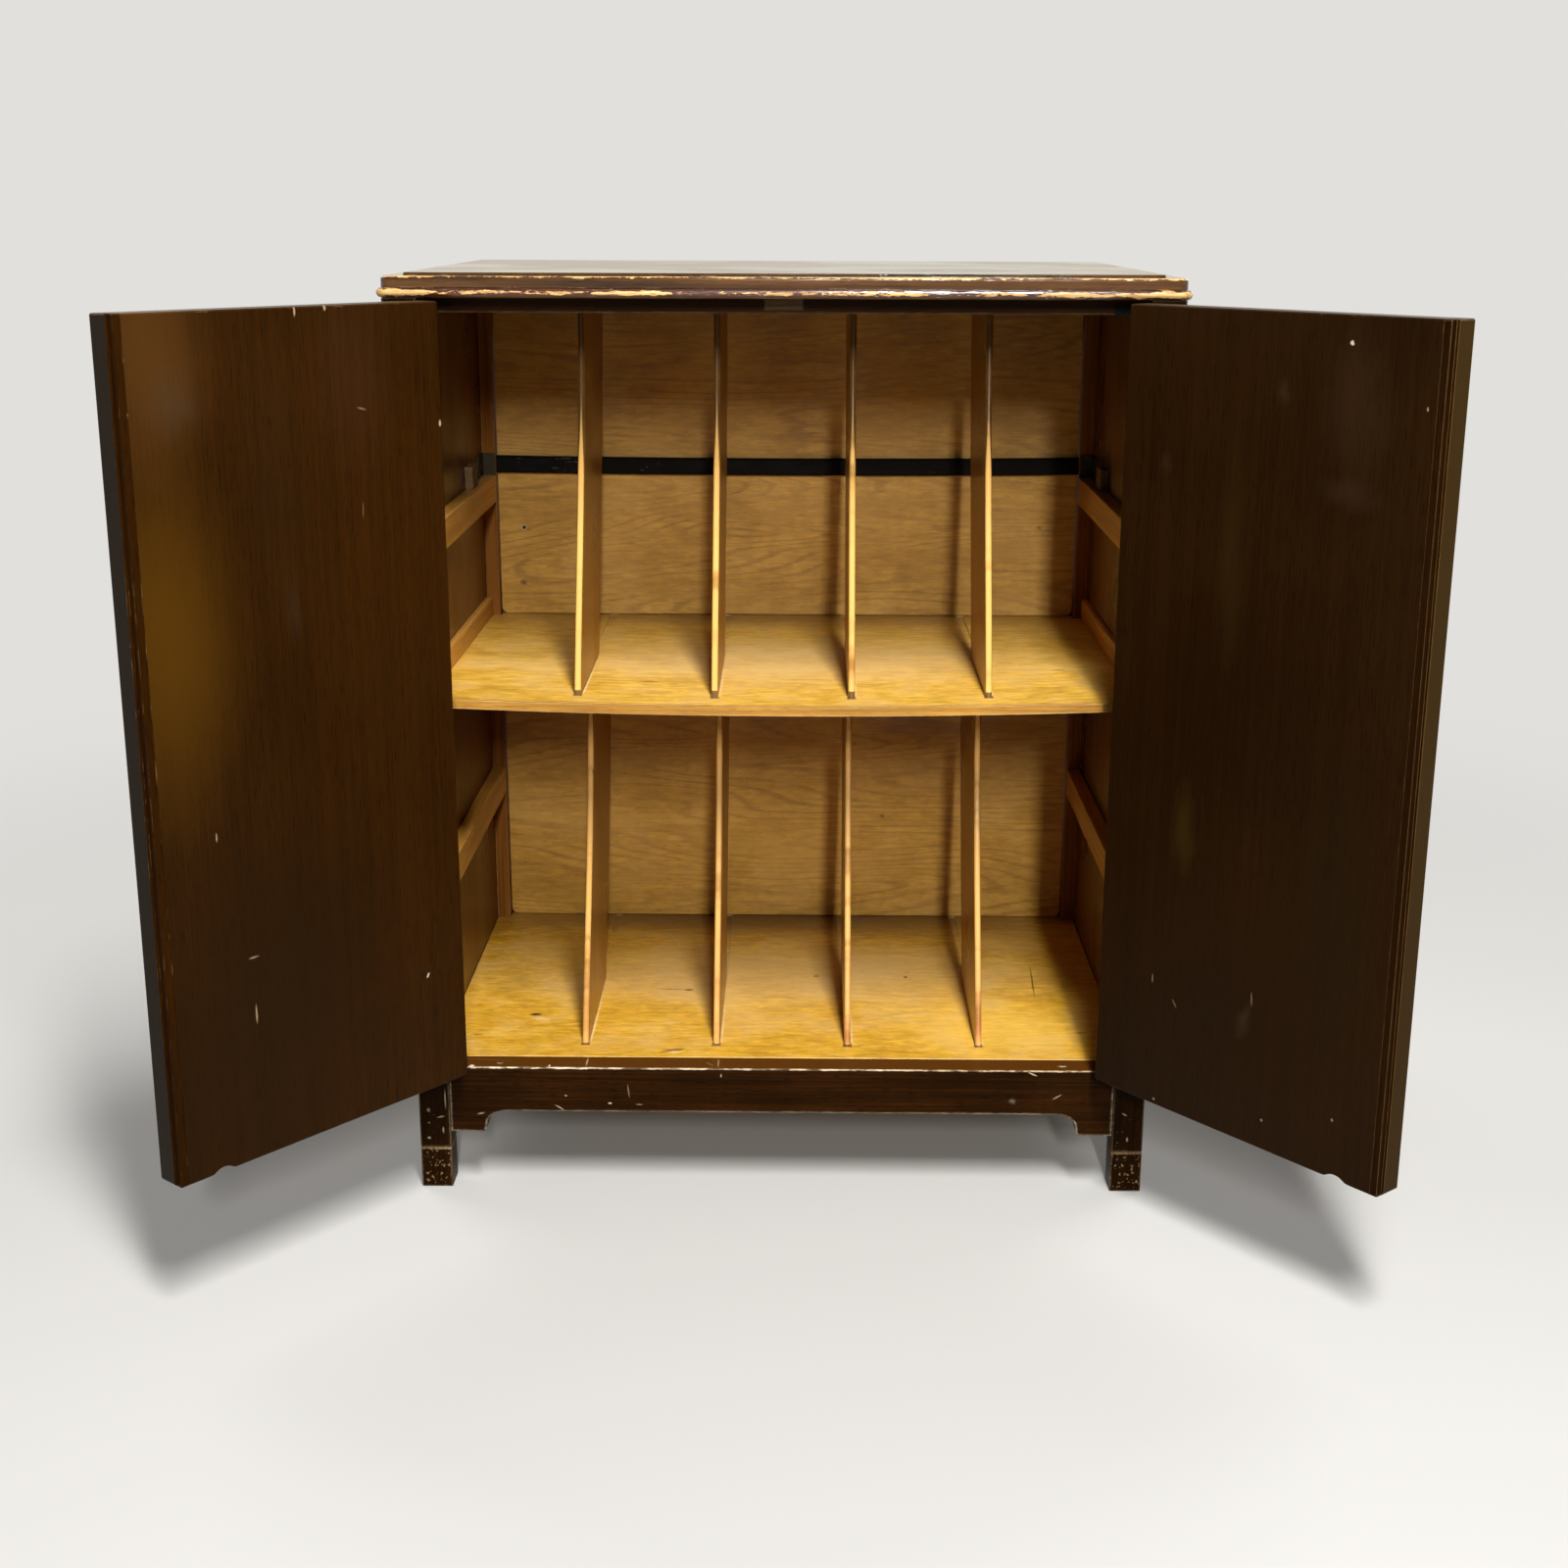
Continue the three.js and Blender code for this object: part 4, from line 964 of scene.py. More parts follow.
POST_MARKS = marks(
    1, -0.0974, 0.01,
    (-0.3195, 0.0755, 0.002, 0.0024, CHIP, 0.45, 0.7, 0.8),
    (-0.3085, 0.0691, 0.0044, 0.001, CHIP, 0.5, 0.6, 0.4, (0.0, 0.2, 0.0)),
    (-0.32, 0.0482, 0.002, 0.0014, CHIP, 0.7, 0.7, 0.8),
    (-0.3068, 0.0561, 0.001, 0.004, CHIP, 0.5, 0.6, 0.4),
    (-0.304, 0.086, 0.0008, 0.011, CHIP, 0.6, 0.6, 0.4),
    (0.3105, 0.076, 0.0034, 0.0009, CHIP, 0.6, 0.6, 0.3, (0.0, -0.5, 0.0)),
    (0.3139, 0.0514, 0.0012, 0.0028, CHIP, 0.6, 0.6, 0.4),
)
BACK_MARKS = marks(
    1, 0.3246, 0.02,
    (-0.2738, 0.5432, 0.0034, 0.0034, (216, 186, 132), 0.8, 0.4, 0.1),
    (-0.2738, 0.5432, 0.0023, 0.0023, (20, 12, 6), 1.0, 0.3, 0.1, STILL, 1.0),
    (-0.276, 0.485, 0.005, 0.0035, (96, 60, 22), 0.8, 0.7, 0.5),
    (0.262, 0.545, 0.004, 0.003, (96, 60, 22), 0.6, 0.7, 0.5),
    (0.104, 0.232, 0.004, 0.003, (84, 52, 20), 0.7, 0.7, 0.5),
) + marks(
    1, 0.3246, 0.05,
    (-0.02, 0.19, 0.12, 0.06, (196, 150, 62), 0.35, 0.9),
)
TOP_WOOD = TopWood(
    "top_lacquer", "top_wood", (98, 62, 28), (54, 33, 14), (232, 192, 122),
    across=330.0, along=5.0, pores=0.3, clouds=0.15, gloss=(0.1, 0.19), specular=0.6, relief=0.00002,
    worn=0.0, worn_width=0.0011, scratches=0.3, nicks=0.16, scratch_paint=(150, 120, 92), scratch_show=0.4,
)
BEAD_WOOD = BeadWood(
    "bead_lacquer", "worn_wood", (96, 50, 26), (50, 25, 13), (230, 184, 110),
    gloss=(0.12, 0.2), specular=0.7, worn=0.9, scratches=0.2, relief=0.0005,
)
DARK_WOOD = Wood(
    "dark_stain", "dark_wood", (56, 29, 7), (34, 17, 4), (170, 138, 98),
    across=520.0, along=8.0, pores=0.5, clouds=0.28, gloss=(0.28, 0.42), specular=0.09,
    sheen=(255, 226, 190), worn=1.0, worn_width=0.0013, scratches=0.2, nicks=0.12,
    scratch_paint=(150, 112, 76), scratch_show=0.6,
)
POST_WOOD = PostWood(**{
    **vars(DARK_WOOD), "name": "post_stain", "light": (40, 20, 4), "dark": (24, 11, 2),
    "bare": (168, 142, 106), "specular": 0.04, "worn_width": 0.0017, "patches": POST_MARKS,
})
APRON_WOOD = ApronWood(**{
    **vars(DARK_WOOD), "name": "apron_stain", "bare": (246, 232, 204), "worn": 1.1,
    "worn_width": 0.0010, "specular": 0.04, "patches": APRON_MARKS,
})
DOOR_WOOD = DoorWood(
    "door_stain", "door_wood", (54, 28, 5), (42, 21, 4), (190, 146, 92),
    across=700.0, along=4.0, pores=0.42, pore_along=60.0, clouds=0.2, cloud_size=0.2,
    gloss=(0.32, 0.42), specular=0.08, sheen=(255, 214, 160), worn=-0.1, worn_width=0.0010,
    scratches=0.004, nicks=0.006, scratch_paint=(140, 112, 80), scratch_show=0.4,
)
SIDE_VENEER = Wood(
    "side_veneer", "side_veneer", (120, 75, 28), (84, 50, 18), (190, 145, 90),
    across=520.0, along=6.0, pores=0.5, clouds=0.2, gloss=(0.26, 0.38), specular=0.3,
    sheen=(255, 226, 190), scratches=0.12,
)
PLYWOOD = ShelfWood(
    "floor_plywood", "plywood", (240, 188, 62), (222, 166, 44), (240, 206, 146),
    across=380.0, along=34.0, figure=0.3, figure_lines=20.0, figure_paint=(180, 122, 44),
    flecks=0.2, pores=0.4, clouds=0.16, cloud_size=0.05, haze=(206, 170, 102), hazed=0.5,
    gloss=(0.34, 0.5), worn=0.3, scratches=0.12, nicks=0.05, scratch_paint=(150, 105, 50),
    scratch_show=0.5, patches=FLOOR_MARKS_AND_PAINTED_LIGHT,
)
SHELF_PLYWOOD = replace(
    PLYWOOD, patches=SHELF_MARKS_AND_PAINTED_SHADE, front=-0.0394, light=(250, 200, 82), dark=(232, 178, 60),
)
BACK_PLYWOOD = Wood(
    "back_plywood", "back_plywood", (212, 162, 66), (192, 142, 50), (230, 190, 120),
    across=330.0, along=24.0, figure=0.42, figure_paint=(140, 92, 30),
    flecks=0.13, pores=0.3, clouds=0.17, cloud_size=0.07, haze=(190, 150, 84), hazed=0.35,
    gloss=(0.38, 0.54), worn=0.6, scratches=0.1, nicks=0.06, scratch_paint=(110, 76, 34),
    scratch_show=0.6, patches=BACK_MARKS,
)
DIVIDER_WOOD = DividerWood(
    "divider_varnish", "divider_wood", (174, 123, 52), (158, 108, 42), (240, 196, 122),
    across=620.0, along=6.0, pores=0.14, clouds=0.12, cloud_size=0.16,
    gloss=(0.26, 0.38), specular=0.12, worn=0.5, worn_width=0.001, scratches=0.1,
    scratch_paint=(110, 70, 34), nicks=0.05,
)
DIVIDERS = {
    "upper": replace(DIVIDER_WOOD, base=0.452),
    # The lower row's painted edge shade starts lower and keeps a wider lit line.
    "lower": replace(
        DIVIDER_WOOD, shade_start=0.325, shade_full=0.446, lit_share_in_shade=0.42, edge_paint=(230, 174, 92), specular=0.3,
    ),
}
HONEY_WOOD = Wood(
    "honey_varnish", "honey_wood", (210, 154, 66), (176, 121, 44), (236, 192, 122),
    across=560.0, clouds=0.16, gloss=(0.3, 0.45), worn=0.5, scratches=0.1,
    scratch_paint=(110, 74, 40),
)
LIPPING = replace(
    HONEY_WOOD, name="lipping_varnish", light=(206, 150, 60), dark=(174, 121, 42), bare=(250, 220, 158),
    worn=1.0, worn_width=0.0013,
)
BARE_WOOD = Wood(
    "bare_pine", "bare_wood", (128, 98, 58), (90, 66, 38), (170, 136, 92),
    along=14.0, pores=0.3, gloss=(0.6, 0.8), specular=0.3,
)
RUBBER = Rubber("black_rubber", "black_rubber", (8, 6, 4), (150, 144, 134))
STEEL = Metal("dull_steel", "steel", (66, 56, 36), (40, 33, 20), (30, 24, 14), metallic=0.2, specular=0.2)
CATCH = Metal(
    "blackened_steel", "steel", (24, 25, 21), (14, 15, 12), (8, 9, 8), (0.6, 0.8),
    metallic=0.0, specular=0.08,
)
BRASS = Metal("aged_brass", "brass", (176, 138, 76), (120, 90, 46), (62, 46, 30), stained=0.6)


def sides(*names: str) -> list[str]:
    """Returns the left and the right node of each name."""
    return [f"{name}_{side}" for name in names for side in ("left", "right")]


def placed(name: str, data: bpy.types.ID) -> bpy.types.Object:
    """Makes an object from its data and puts it in the scene.

    Args:
        name: The object's name.
        data: Its mesh, lamp or camera.

    Returns:
        The object.
    """
    thing = bpy.data.objects.new(name, data)
    bpy.context.scene.collection.objects.link(thing)
    return thing


def meshed(name: str, mesh: bmesh.types.BMesh) -> bpy.types.Mesh:
    """Writes a finished mesh into new data and frees it.

    Args:
        name: The data's name.
        mesh: The mesh.

    Returns:
        The data.
    """
    data = bpy.data.meshes.new(name)
    mesh.to_mesh(data)
    mesh.free()
    return data


def dress(names: Iterable[str], material: bpy.types.Material) -> None:
    """Gives nodes of the frame a material.

    Args:
        names: The nodes.
        material: What they get.
    """
    for name in names:
        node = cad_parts[name]
        if not node.material_slots:
            node.data.materials.append(material)
        for place in node.material_slots:
            place.material = material


def piece(
    name: str, mesh: bmesh.types.BMesh, body: str, material: bpy.types.Material
) -> None:
    """Makes an object from a finished mesh and lets it ride on a body.

    Args:
        name: The piece's name.
        mesh: Its mesh, in place, which is freed.
        body: The body that it moves with.
        material: Its finish.
    """
    bmesh.ops.remove_doubles(mesh, verts=mesh.verts, dist=1e-7)
    bmesh.ops.recalc_face_normals(mesh, faces=mesh.faces)
    thing = placed(name, meshed(name, mesh))
    thing.data.materials.append(material)
    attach(thing, body)


def raise_faces(mesh: bmesh.types.BMesh, faces: list[bmesh.types.BMFace], by: float) -> None:
    """Pulls faces up out of a mesh, or down into it.

    Args:
        mesh: The mesh.
        faces: The faces.
        by: How far they go up.
    """
    pulled = bmesh.ops.extrude_face_region(mesh, geom=faces)["geom"]
    moved = [part for part in pulled if isinstance(part, bmesh.types.BMVert)]
    bmesh.ops.translate(mesh, verts=moved, vec=(0, 0, by))


def stud(mesh: bmesh.types.BMesh, place: Matrix, shape: Point, segments: int) -> None:
    """Adds a short tapered pin to a mesh.

    Args:
        mesh: The mesh that it joins.
        place: Its middle and the way that it stands.
        shape: Its radius at the foot and at the tip, and its height.
        segments: The sides of its round.
    """
    foot, tip, tall = shape
    bmesh.ops.create_cone(
        mesh, cap_ends=True, cap_tris=False, segments=segments, radius1=foot, radius2=tip,
        depth=tall, matrix=place,
    )


@dataclass
class Screw:
    """A countersunk screw whose slotted head sits flush in its plate."""

    radius: float = 0.0027
    height: float = 0.0006
    slot_width: float = 0.0007
    slot_depth: float = 0.0004

    def add(self, mesh: bmesh.types.BMesh, at: Vector, out: Vector, turn: float) -> None:
        """Adds one head to a mesh.

        Args:
            mesh: The mesh that it joins.
            at: The middle of its seat.
            out: The way that its face looks.
            turn: The turn of its slot in radians.
        """
        head = bmesh.new()
        bmesh.ops.create_circle(head, cap_ends=True, radius=self.radius, segments=20)
        raise_faces(head, head.faces[:], self.height)
        for side in (-1, 1):
            bmesh.ops.bisect_plane(
                head, geom=head.verts[:] + head.edges[:] + head.faces[:],
                plane_co=(0, side * self.slot_width / 2, 0), plane_no=(0, 1, 0),
            )
        bottom = [
            face for face in head.faces
            if face.normal.z > 0.9 and abs(face.calc_center_median().y) < self.slot_width / 4
        ]
        raise_faces(head, bottom, -self.slot_depth)
        bmesh.ops.delete(head, geom=bottom, context="FACES_ONLY")
        place = Matrix.Translation(at) @ out.to_track_quat("Z", "Y").to_matrix().to_4x4()
        place = place @ Matrix.Rotation(turn, 4, "Z")
        bmesh.ops.transform(head, matrix=place, verts=head.verts)
        joined = meshed("screw", head)
        mesh.from_mesh(joined)
        bpy.data.meshes.remove(joined)


@dataclass
class Studio:
    """The pale floor, the soft lamps and the camera."""

    position: Point = (0.0177, -1.82763, 0.86423)
    pitch: float = math.radians(15.502)
    yaw: float = math.radians(-0.530)
    roll: float = math.radians(0.199)
    focus: float = 2117.4
    image: float = 1600.0
    sensor: float = 36.0
    lamps: tuple[tuple[str, tuple[float, ...]], ...] = (
        ("high_lamp", (11.0, 52.0, 3.0, 0.3, 1.3, 118.0)),
        ("low_lamp", (4.0, 22.0, 6.0, 0.22, 1.05, 150.0)),
        ("rear_left_lamp", (-130.0, 32.0, 3.2, 1.6, 1.6, 30.0)),
        ("rear_right_lamp", (130.0, 32.0, 3.2, 1.6, 1.6, 30.0)),
    )
    aim: Point = (0.0, 0.05, 0.45)
    room: float = 0.1
    soft_light: Colour = (1.0, 0.99, 0.97, 1.0)
    front_room: Colour = (0.07, 0.066, 0.06, 1.0)
    ramp: tuple[float, float] = (0.25, 0.75)
    floor_radius: float = 30.0
    floor_fade: tuple[float, float] = (0.7, 2.2)
    floor_share: float = 0.35
    backdrop: Paint = (226, 224, 220)
    floor_paint: Paint = (205, 203, 199)
    reflection: Paint = (240, 236, 222)

    def camera(self) -> None:
        """Sets the camera to the photograph's viewpoint."""
        ahead = -bearing(-self.yaw, self.pitch)
        level = Vector((math.cos(self.yaw), -math.sin(self.yaw), 0))
        low = ahead.cross(level)
        right = math.cos(self.roll) * level - math.sin(self.roll) * low
        down = ahead.cross(right)
        data = bpy.data.cameras.new("camera")
        data.sensor_width = self.sensor
        data.lens = self.sensor * self.focus / self.image
        camera = placed("camera", data)
        turn = Matrix((right, -down, -ahead)).transposed().to_4x4()
        camera.matrix_world = Matrix.Translation(self.position) @ turn
        bpy.context.scene.camera = camera

    def lamp(self, name: str, facts: tuple[float, ...]) -> None:
        """Adds a soft lamp that looks at the cabinet's middle.

        Args:
            name: The lamp's name.
            facts: Its turn to the right and its height above the level in degrees, how far
                off it is, its width and height, and its power in watts.
        """
        turn, rise, distance, wide, tall, watts = facts
        back = bearing(math.radians(turn), math.radians(rise))
        data = bpy.data.lights.new(name, "AREA")
        data.shape = "RECTANGLE"
        data.size, data.size_y = wide, tall
        data.energy = watts
        lamp = placed(name, data)
        lamp.rotation_mode = "QUATERNION"
        lamp.location = Vector(self.aim) + back * distance
        lamp.rotation_quaternion = (-back).to_track_quat("-Z", "Y")

    def world(self) -> None:
        """Sets soft light all round, and the pale backdrop that the camera and gloss see."""
        world = bpy.data.worlds.new("studio")
        bpy.context.scene.world = world
        tree = Tree(world)
        rays = tree.add("LightPath").outputs
        pale = tree.math("MAXIMUM", rays["Is Camera Ray"], rays["Is Transmission Ray"])
        soft = tree.add("Background", {"Color": self.soft_light, "Strength": self.room})
        seen = tree.add("Background", {"Color": linear(self.backdrop)})
        shiny = tree.add("Background", {"Color": self.reflected(tree)})
        glossy = tree.add(
            "MixShader", {0: rays["Is Glossy Ray"], 1: soft.outputs[0], 2: shiny.outputs[0]}
        )
        mixed = tree.add("MixShader", {0: pale, 1: glossy.outputs[0], 2: seen.outputs[0]})
        tree.add("OutputWorld", {0: mixed.outputs[0]})

    def reflected(self, tree: Tree) -> Socket:
        """Makes the room that gloss sees: pale behind the cabinet, dimmer in front.

        Args:
            tree: The world's tree.

        Returns:
            The colour of the room in each direction.
        """
        where = tree.add("SeparateXYZ", {0: tree.add("TexCoord").outputs["Generated"]})
        back = tree.add("MapRange", {0: where.outputs[1], 1: -1.0})
        ramp = tree.add("ValToRGB", {0: back.outputs[0]})
        ends = zip(ramp.color_ramp.elements, self.ramp, (self.front_room, linear(self.reflection)))
        for element, position, colour in ends:
            element.position, element.color = position, colour
        return ramp.outputs[0]

    def floor(self) -> None:
        """Lays the pale floor, which fades into the backdrop and keeps the shadow."""
        mesh = bmesh.new()
        bmesh.ops.create_circle(mesh, cap_ends=True, radius=self.floor_radius, segments=64)
        floor = placed("floor", meshed("floor", mesh))
        graph = Graph("pale_floor")
        rays = graph.add("LightPath").outputs
        seen = graph.math("MAXIMUM", rays["Is Camera Ray"], rays["Is Glossy Ray"])
        seen = graph.math("MAXIMUM", seen, rays["Is Transmission Ray"])
        dim = shared(self.floor_paint, (self.floor_share,) * 3)
        graph.shade("Base Color", graph.mix(seen, dim, linear(self.floor_paint)))
        graph.shade("Roughness", 0.9)
        graph.shade("Specular IOR Level", 0.0)
        far = graph.product(graph.fade(graph.length(graph.place), *self.floor_fade), seen)
        glow = graph.add("Emission", {"Color": linear(self.backdrop), "Strength": 1.0})
        both = graph.add("MixShader", {0: far, 1: graph.shader.outputs[0], 2: glow.outputs[0]})
        graph.put(graph.output.inputs["Surface"], both.outputs[0])
        floor.data.materials.append(graph.material)

    def build(self) -> None:
        """Sets up the whole studio."""
        self.camera()
        self.world()
        self.floor()
        for name, facts in self.lamps:
            self.lamp(name, facts)
        bpy.context.scene.view_settings.view_transform = "Standard"


@dataclass
class TopMoulding:
    """The lacquered top board and the round bead under its edge."""

    board: str = "top_board"
    beads: tuple[str, ...] = ("front_bead", "side_bead_left", "side_bead_right")

    def build(self) -> None:
        """Dresses the board and its beads."""
        dress([self.board], TOP_WOOD.material(Grain.ACROSS))
        dress(self.beads[:1], BEAD_WOOD.material(Grain.ACROSS))
        dress(self.beads[1:], BEAD_WOOD.material(Grain.DEEP))


@dataclass
class CaseFrame:
    """The posts, rails, apron and panels of the case, with their nails and screws."""

    across: tuple[str, ...] = (
        "lower_back_rail", "middle_back_rail", "upper_back_rail", "door_stop_rail",
    )
    nail_places: tuple[tuple[float, float], ...] = (
        (-0.2541, -0.0863), (-0.0304, -0.0823), (0.0335, -0.0834), (0.2552, -0.0839),
    )
    apron_top: float = 0.118
    rail_back: float = 0.3426
    screw_side: float = 0.284
    rail_middles: tuple[float, ...] = (0.1127, 0.448, 0.7681)
    catch_place: Point = (0.2796, -0.0709, 0.7842)
    catch_size: Point = (0.0140, 0.0008, 0.0096)
    catch_round: float = 0.0003
    pin_head: Point = (0.0011, 0.0009, 0.0004)
    pin_lift: float = 0.0001
    nail_head: Point = (0.0017, 0.0014, 0.0003)
    nail_lift: float = 0.00005
    screw_spread: float = 0.017
    screw_sink: float = 0.0002
    slot_turns: Point = (0.7, 1.1, 0.4)

    def nails(self) -> None:
        """Drives the brads along the apron's top edge."""
        mesh = bmesh.new()
        for x, y in self.nail_places:
            place = Matrix.Translation((x, y, self.apron_top + self.nail_lift))
            stud(mesh, place, self.nail_head, 14)
        piece("apron_brads", mesh, "cabinet", STEEL.material())

    def screws(self) -> None:
        """Puts two screws in each end of the rails across the back."""
        mesh = bmesh.new()
        screw = Screw(radius=0.0036, height=0.0005)
        rows = itertools.product(enumerate(self.rail_middles), (-1, 1), (-1, 1))
        for (number, middle), side, step in rows:
            height = middle + step * self.screw_spread
            at = Vector((side * self.screw_side, self.rail_back - self.screw_sink, height))
            turn = Vector(self.slot_turns).dot((number, side, step))
            screw.add(mesh, at, Vector((0, 1, 0)), turn)
        piece("back_rail_screws", mesh, "cabinet", STEEL.material())

    def catch(self) -> None:
        """Fixes the small dark catch plate to the right end of the stop rail."""
        mesh = bmesh.new()
        size, (x, y, z) = self.catch_size, self.catch_place
        place = Matrix.Translation((x, y - size[1] / 2, z)) @ Matrix.Diagonal((*size, 1.0))
        bmesh.ops.create_cube(mesh, size=1.0, matrix=place)
        bmesh.ops.bevel(
            mesh, geom=mesh.edges[:], offset=self.catch_round, offset_type="OFFSET", segments=2,
            profile=0.5, affect="EDGES", material=-1,
        )
        for side in (-1, 1):
            pin = Matrix.Translation((x + side * size[0] * 0.3, y - size[1] - self.pin_lift, z))
            stud(mesh, pin @ Matrix.Rotation(math.pi / 2, 4, "X"), self.pin_head, 16)
        piece("catch_plate", mesh, "cabinet", CATCH.material())

    def build(self) -> None:
        """Dresses the frame and adds its fixings."""
        dress(sides("front_post", "back_post"), POST_WOOD.material(Grain.UPRIGHT))
        dress(["front_apron"], APRON_WOOD.material(Grain.ACROSS))
        dress(self.across, DARK_WOOD.material(Grain.ACROSS))
        dress(sides("lower_side_rail", "upper_side_rail"), DARK_WOOD.material(Grain.DEEP))
        dress(["door_stop_block"], BARE_WOOD.material(Grain.ACROSS))
        dress(sides("side_panel"), SIDE_VENEER.material(Grain.UPRIGHT))
        self.nails()
        self.screws()
        self.catch()


@dataclass
class Interior:
    """The floor, shelf, back panels and dividers, with the battens and the buffer strip."""

    dividers: int = 4

    def build(self) -> None:
        """Dresses everything inside the case."""
        dress(["floor_panel"], PLYWOOD.material(Grain.ACROSS, "floor_plywood"))
        dress(["shelf"], SHELF_PLYWOOD.material(Grain.ACROSS, "shelf_plywood"))
        dress(["shelf_lipping"], LIPPING.material(Grain.ACROSS))
        dress(["lower_back_panel", "upper_back_panel"], BACK_PLYWOOD.material(Grain.ACROSS))
        for row in ("upper", "lower"):
            names = [f"{row}_divider_{number + 1}" for number in range(self.dividers)]
            dress(names, DIVIDERS[row].material(Grain.UPRIGHT, f"{row}_divider_varnish"))
        battens = sides("upper_batten", "lower_batten", "shelf_strip")
        dress(battens, HONEY_WOOD.material(Grain.DEEP))
        dress(sides("strip_block"), BARE_WOOD.material(Grain.DEEP))
        dress(["buffer_strip"], RUBBER.material())
        dress(sides("strip_plate"), STEEL.material())


@dataclass
class Door:
    """One door with its edge strip and the two hinges that carry it."""

    side: str
    light: Paint
    dark: Paint
    strip: Paint
    strip_worn: float
    chips: tuple[tuple[float, float, float], ...]
    patches: tuple[Patch, ...]
    axis_side: float = 0.2995
    axis_front: float = -0.10068
    opened: float = math.radians(130)
    leaf_gap: float = 0.001
    hinge_heights: tuple[float, float] = (0.210, 0.7015)
    screw_depth: float = 0.0123
    screw_step: float = 0.021
    screw_sink: float = 0.00045
    chip_size: float = 0.0022
    chip_sink: float = 0.001
    strip_bare: Paint = (146, 110, 68)

    @property
    def way(self) -> int:
        """Returns -1 for the left door and 1 for the right one."""
        return -1 if self.side == "left" else 1

    def pivot(self) -> Vector:
        """Returns the foot of the hinges' axis."""
        return Vector((self.way * self.axis_side, self.axis_front, 0))

    def turned(self, aim: Vector) -> Vector:
        """Turns a direction on the shut door to the same one on the open door."""
        return Matrix.Rotation(self.way * self.opened, 3, "Z") @ aim

    def screws(self) -> None:
        """Puts three flush screws in each leaf of both hinges, on the case and on the door."""
        way, axis = self.way, self.pivot()
        swing = Matrix.Rotation(way * self.opened, 4, "Z") @ Matrix.Translation(-axis)
        swing = Matrix.Translation(axis) @ swing
        screw = Screw(radius=0.0026)
        for body, outward in (("cabinet", -way), (f"{self.side}_door", way)):
            mesh = bmesh.new()
            seat = -outward * (self.leaf_gap / 2 + self.screw_sink)
            rows = itertools.product(enumerate(self.hinge_heights), (-1, 0, 1))
            for (number, middle), step in rows:
                at = axis + Vector((seat, self.screw_depth, middle + step * self.screw_step))
                screw.add(mesh, at, Vector((outward, 0, 0)), 0.9 * number + 1.3 * step)
            if body != "cabinet":
                bmesh.ops.transform(mesh, matrix=swing, verts=mesh.verts)
            owner = "post" if body == "cabinet" else "door"
            piece(f"{self.side}_hinge_{owner}_screws", mesh, body, BRASS.material())

    def edge(self, wood: Wood) -> None:
        """Dresses the strip along the free edge, with its chips.

        Args:
            wood: The door's finish.
        """
        node = f"{self.side}_door_edge_strip"
        pivot, away = self.pivot(), self.turned(Vector((-self.way, 0, 0)))
        reach = max((vertex.co - pivot).dot(away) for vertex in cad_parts[node].data.vertices)
        chips = []
        for low, high, share in self.chips:
            at = pivot + away * (reach - self.chip_sink) + Vector((0, 0, (low + high) / 2))
            around = (self.chip_size, self.chip_size, (high - low) / 2)
            chips.append(Patch(tuple(at), around, CHIP, share, 0.5, 0.7))
        strip = StripWood(**{
            **vars(wood), "name": f"{self.side}_strip_stain", "patches": tuple(chips),
            "specular": 0.03, "worn": self.strip_worn, "bare": self.strip_bare,
            "away": tuple(away), "reach": reach, "edge_paint": self.strip,
        })
        dress([node], strip.material(Grain.UPRIGHT))

    def build(self) -> None:
        """Dresses the door, its strip and its hinges."""
        self.screws()
        inward = self.turned(Vector((0, 1, 0)))
        wood = replace(
            DOOR_WOOD, name=f"{self.side}_door_stain", light=self.light, dark=self.dark,
            patches=self.patches, pivot=tuple(self.pivot()), inward=tuple(inward),
        )
        dress([f"{self.side}_door"], wood.material(Grain.UPRIGHT))
        self.edge(wood)
        for place in ("lower", "upper"):
            hinge = f"{self.side}_{place}_hinge"
            dress([f"{hinge}_post_leaf", f"{hinge}_door_leaf", f"{hinge}_pin"], BRASS.material())


LEFT_CHIPS = ((0.752, 0.790, 0.8), (0.700, 0.712, 0.5), (0.608, 0.613, 0.6), (0.120, 0.126, 0.8))
RIGHT_CHIPS = ((0.779, 0.791, 0.6), (0.120, 0.127, 0.9))
# Painted sheen: grey patches standing in for gloss on the varnish.
PAINTED_GREY_SHEEN: Paint = (78, 66, 48)
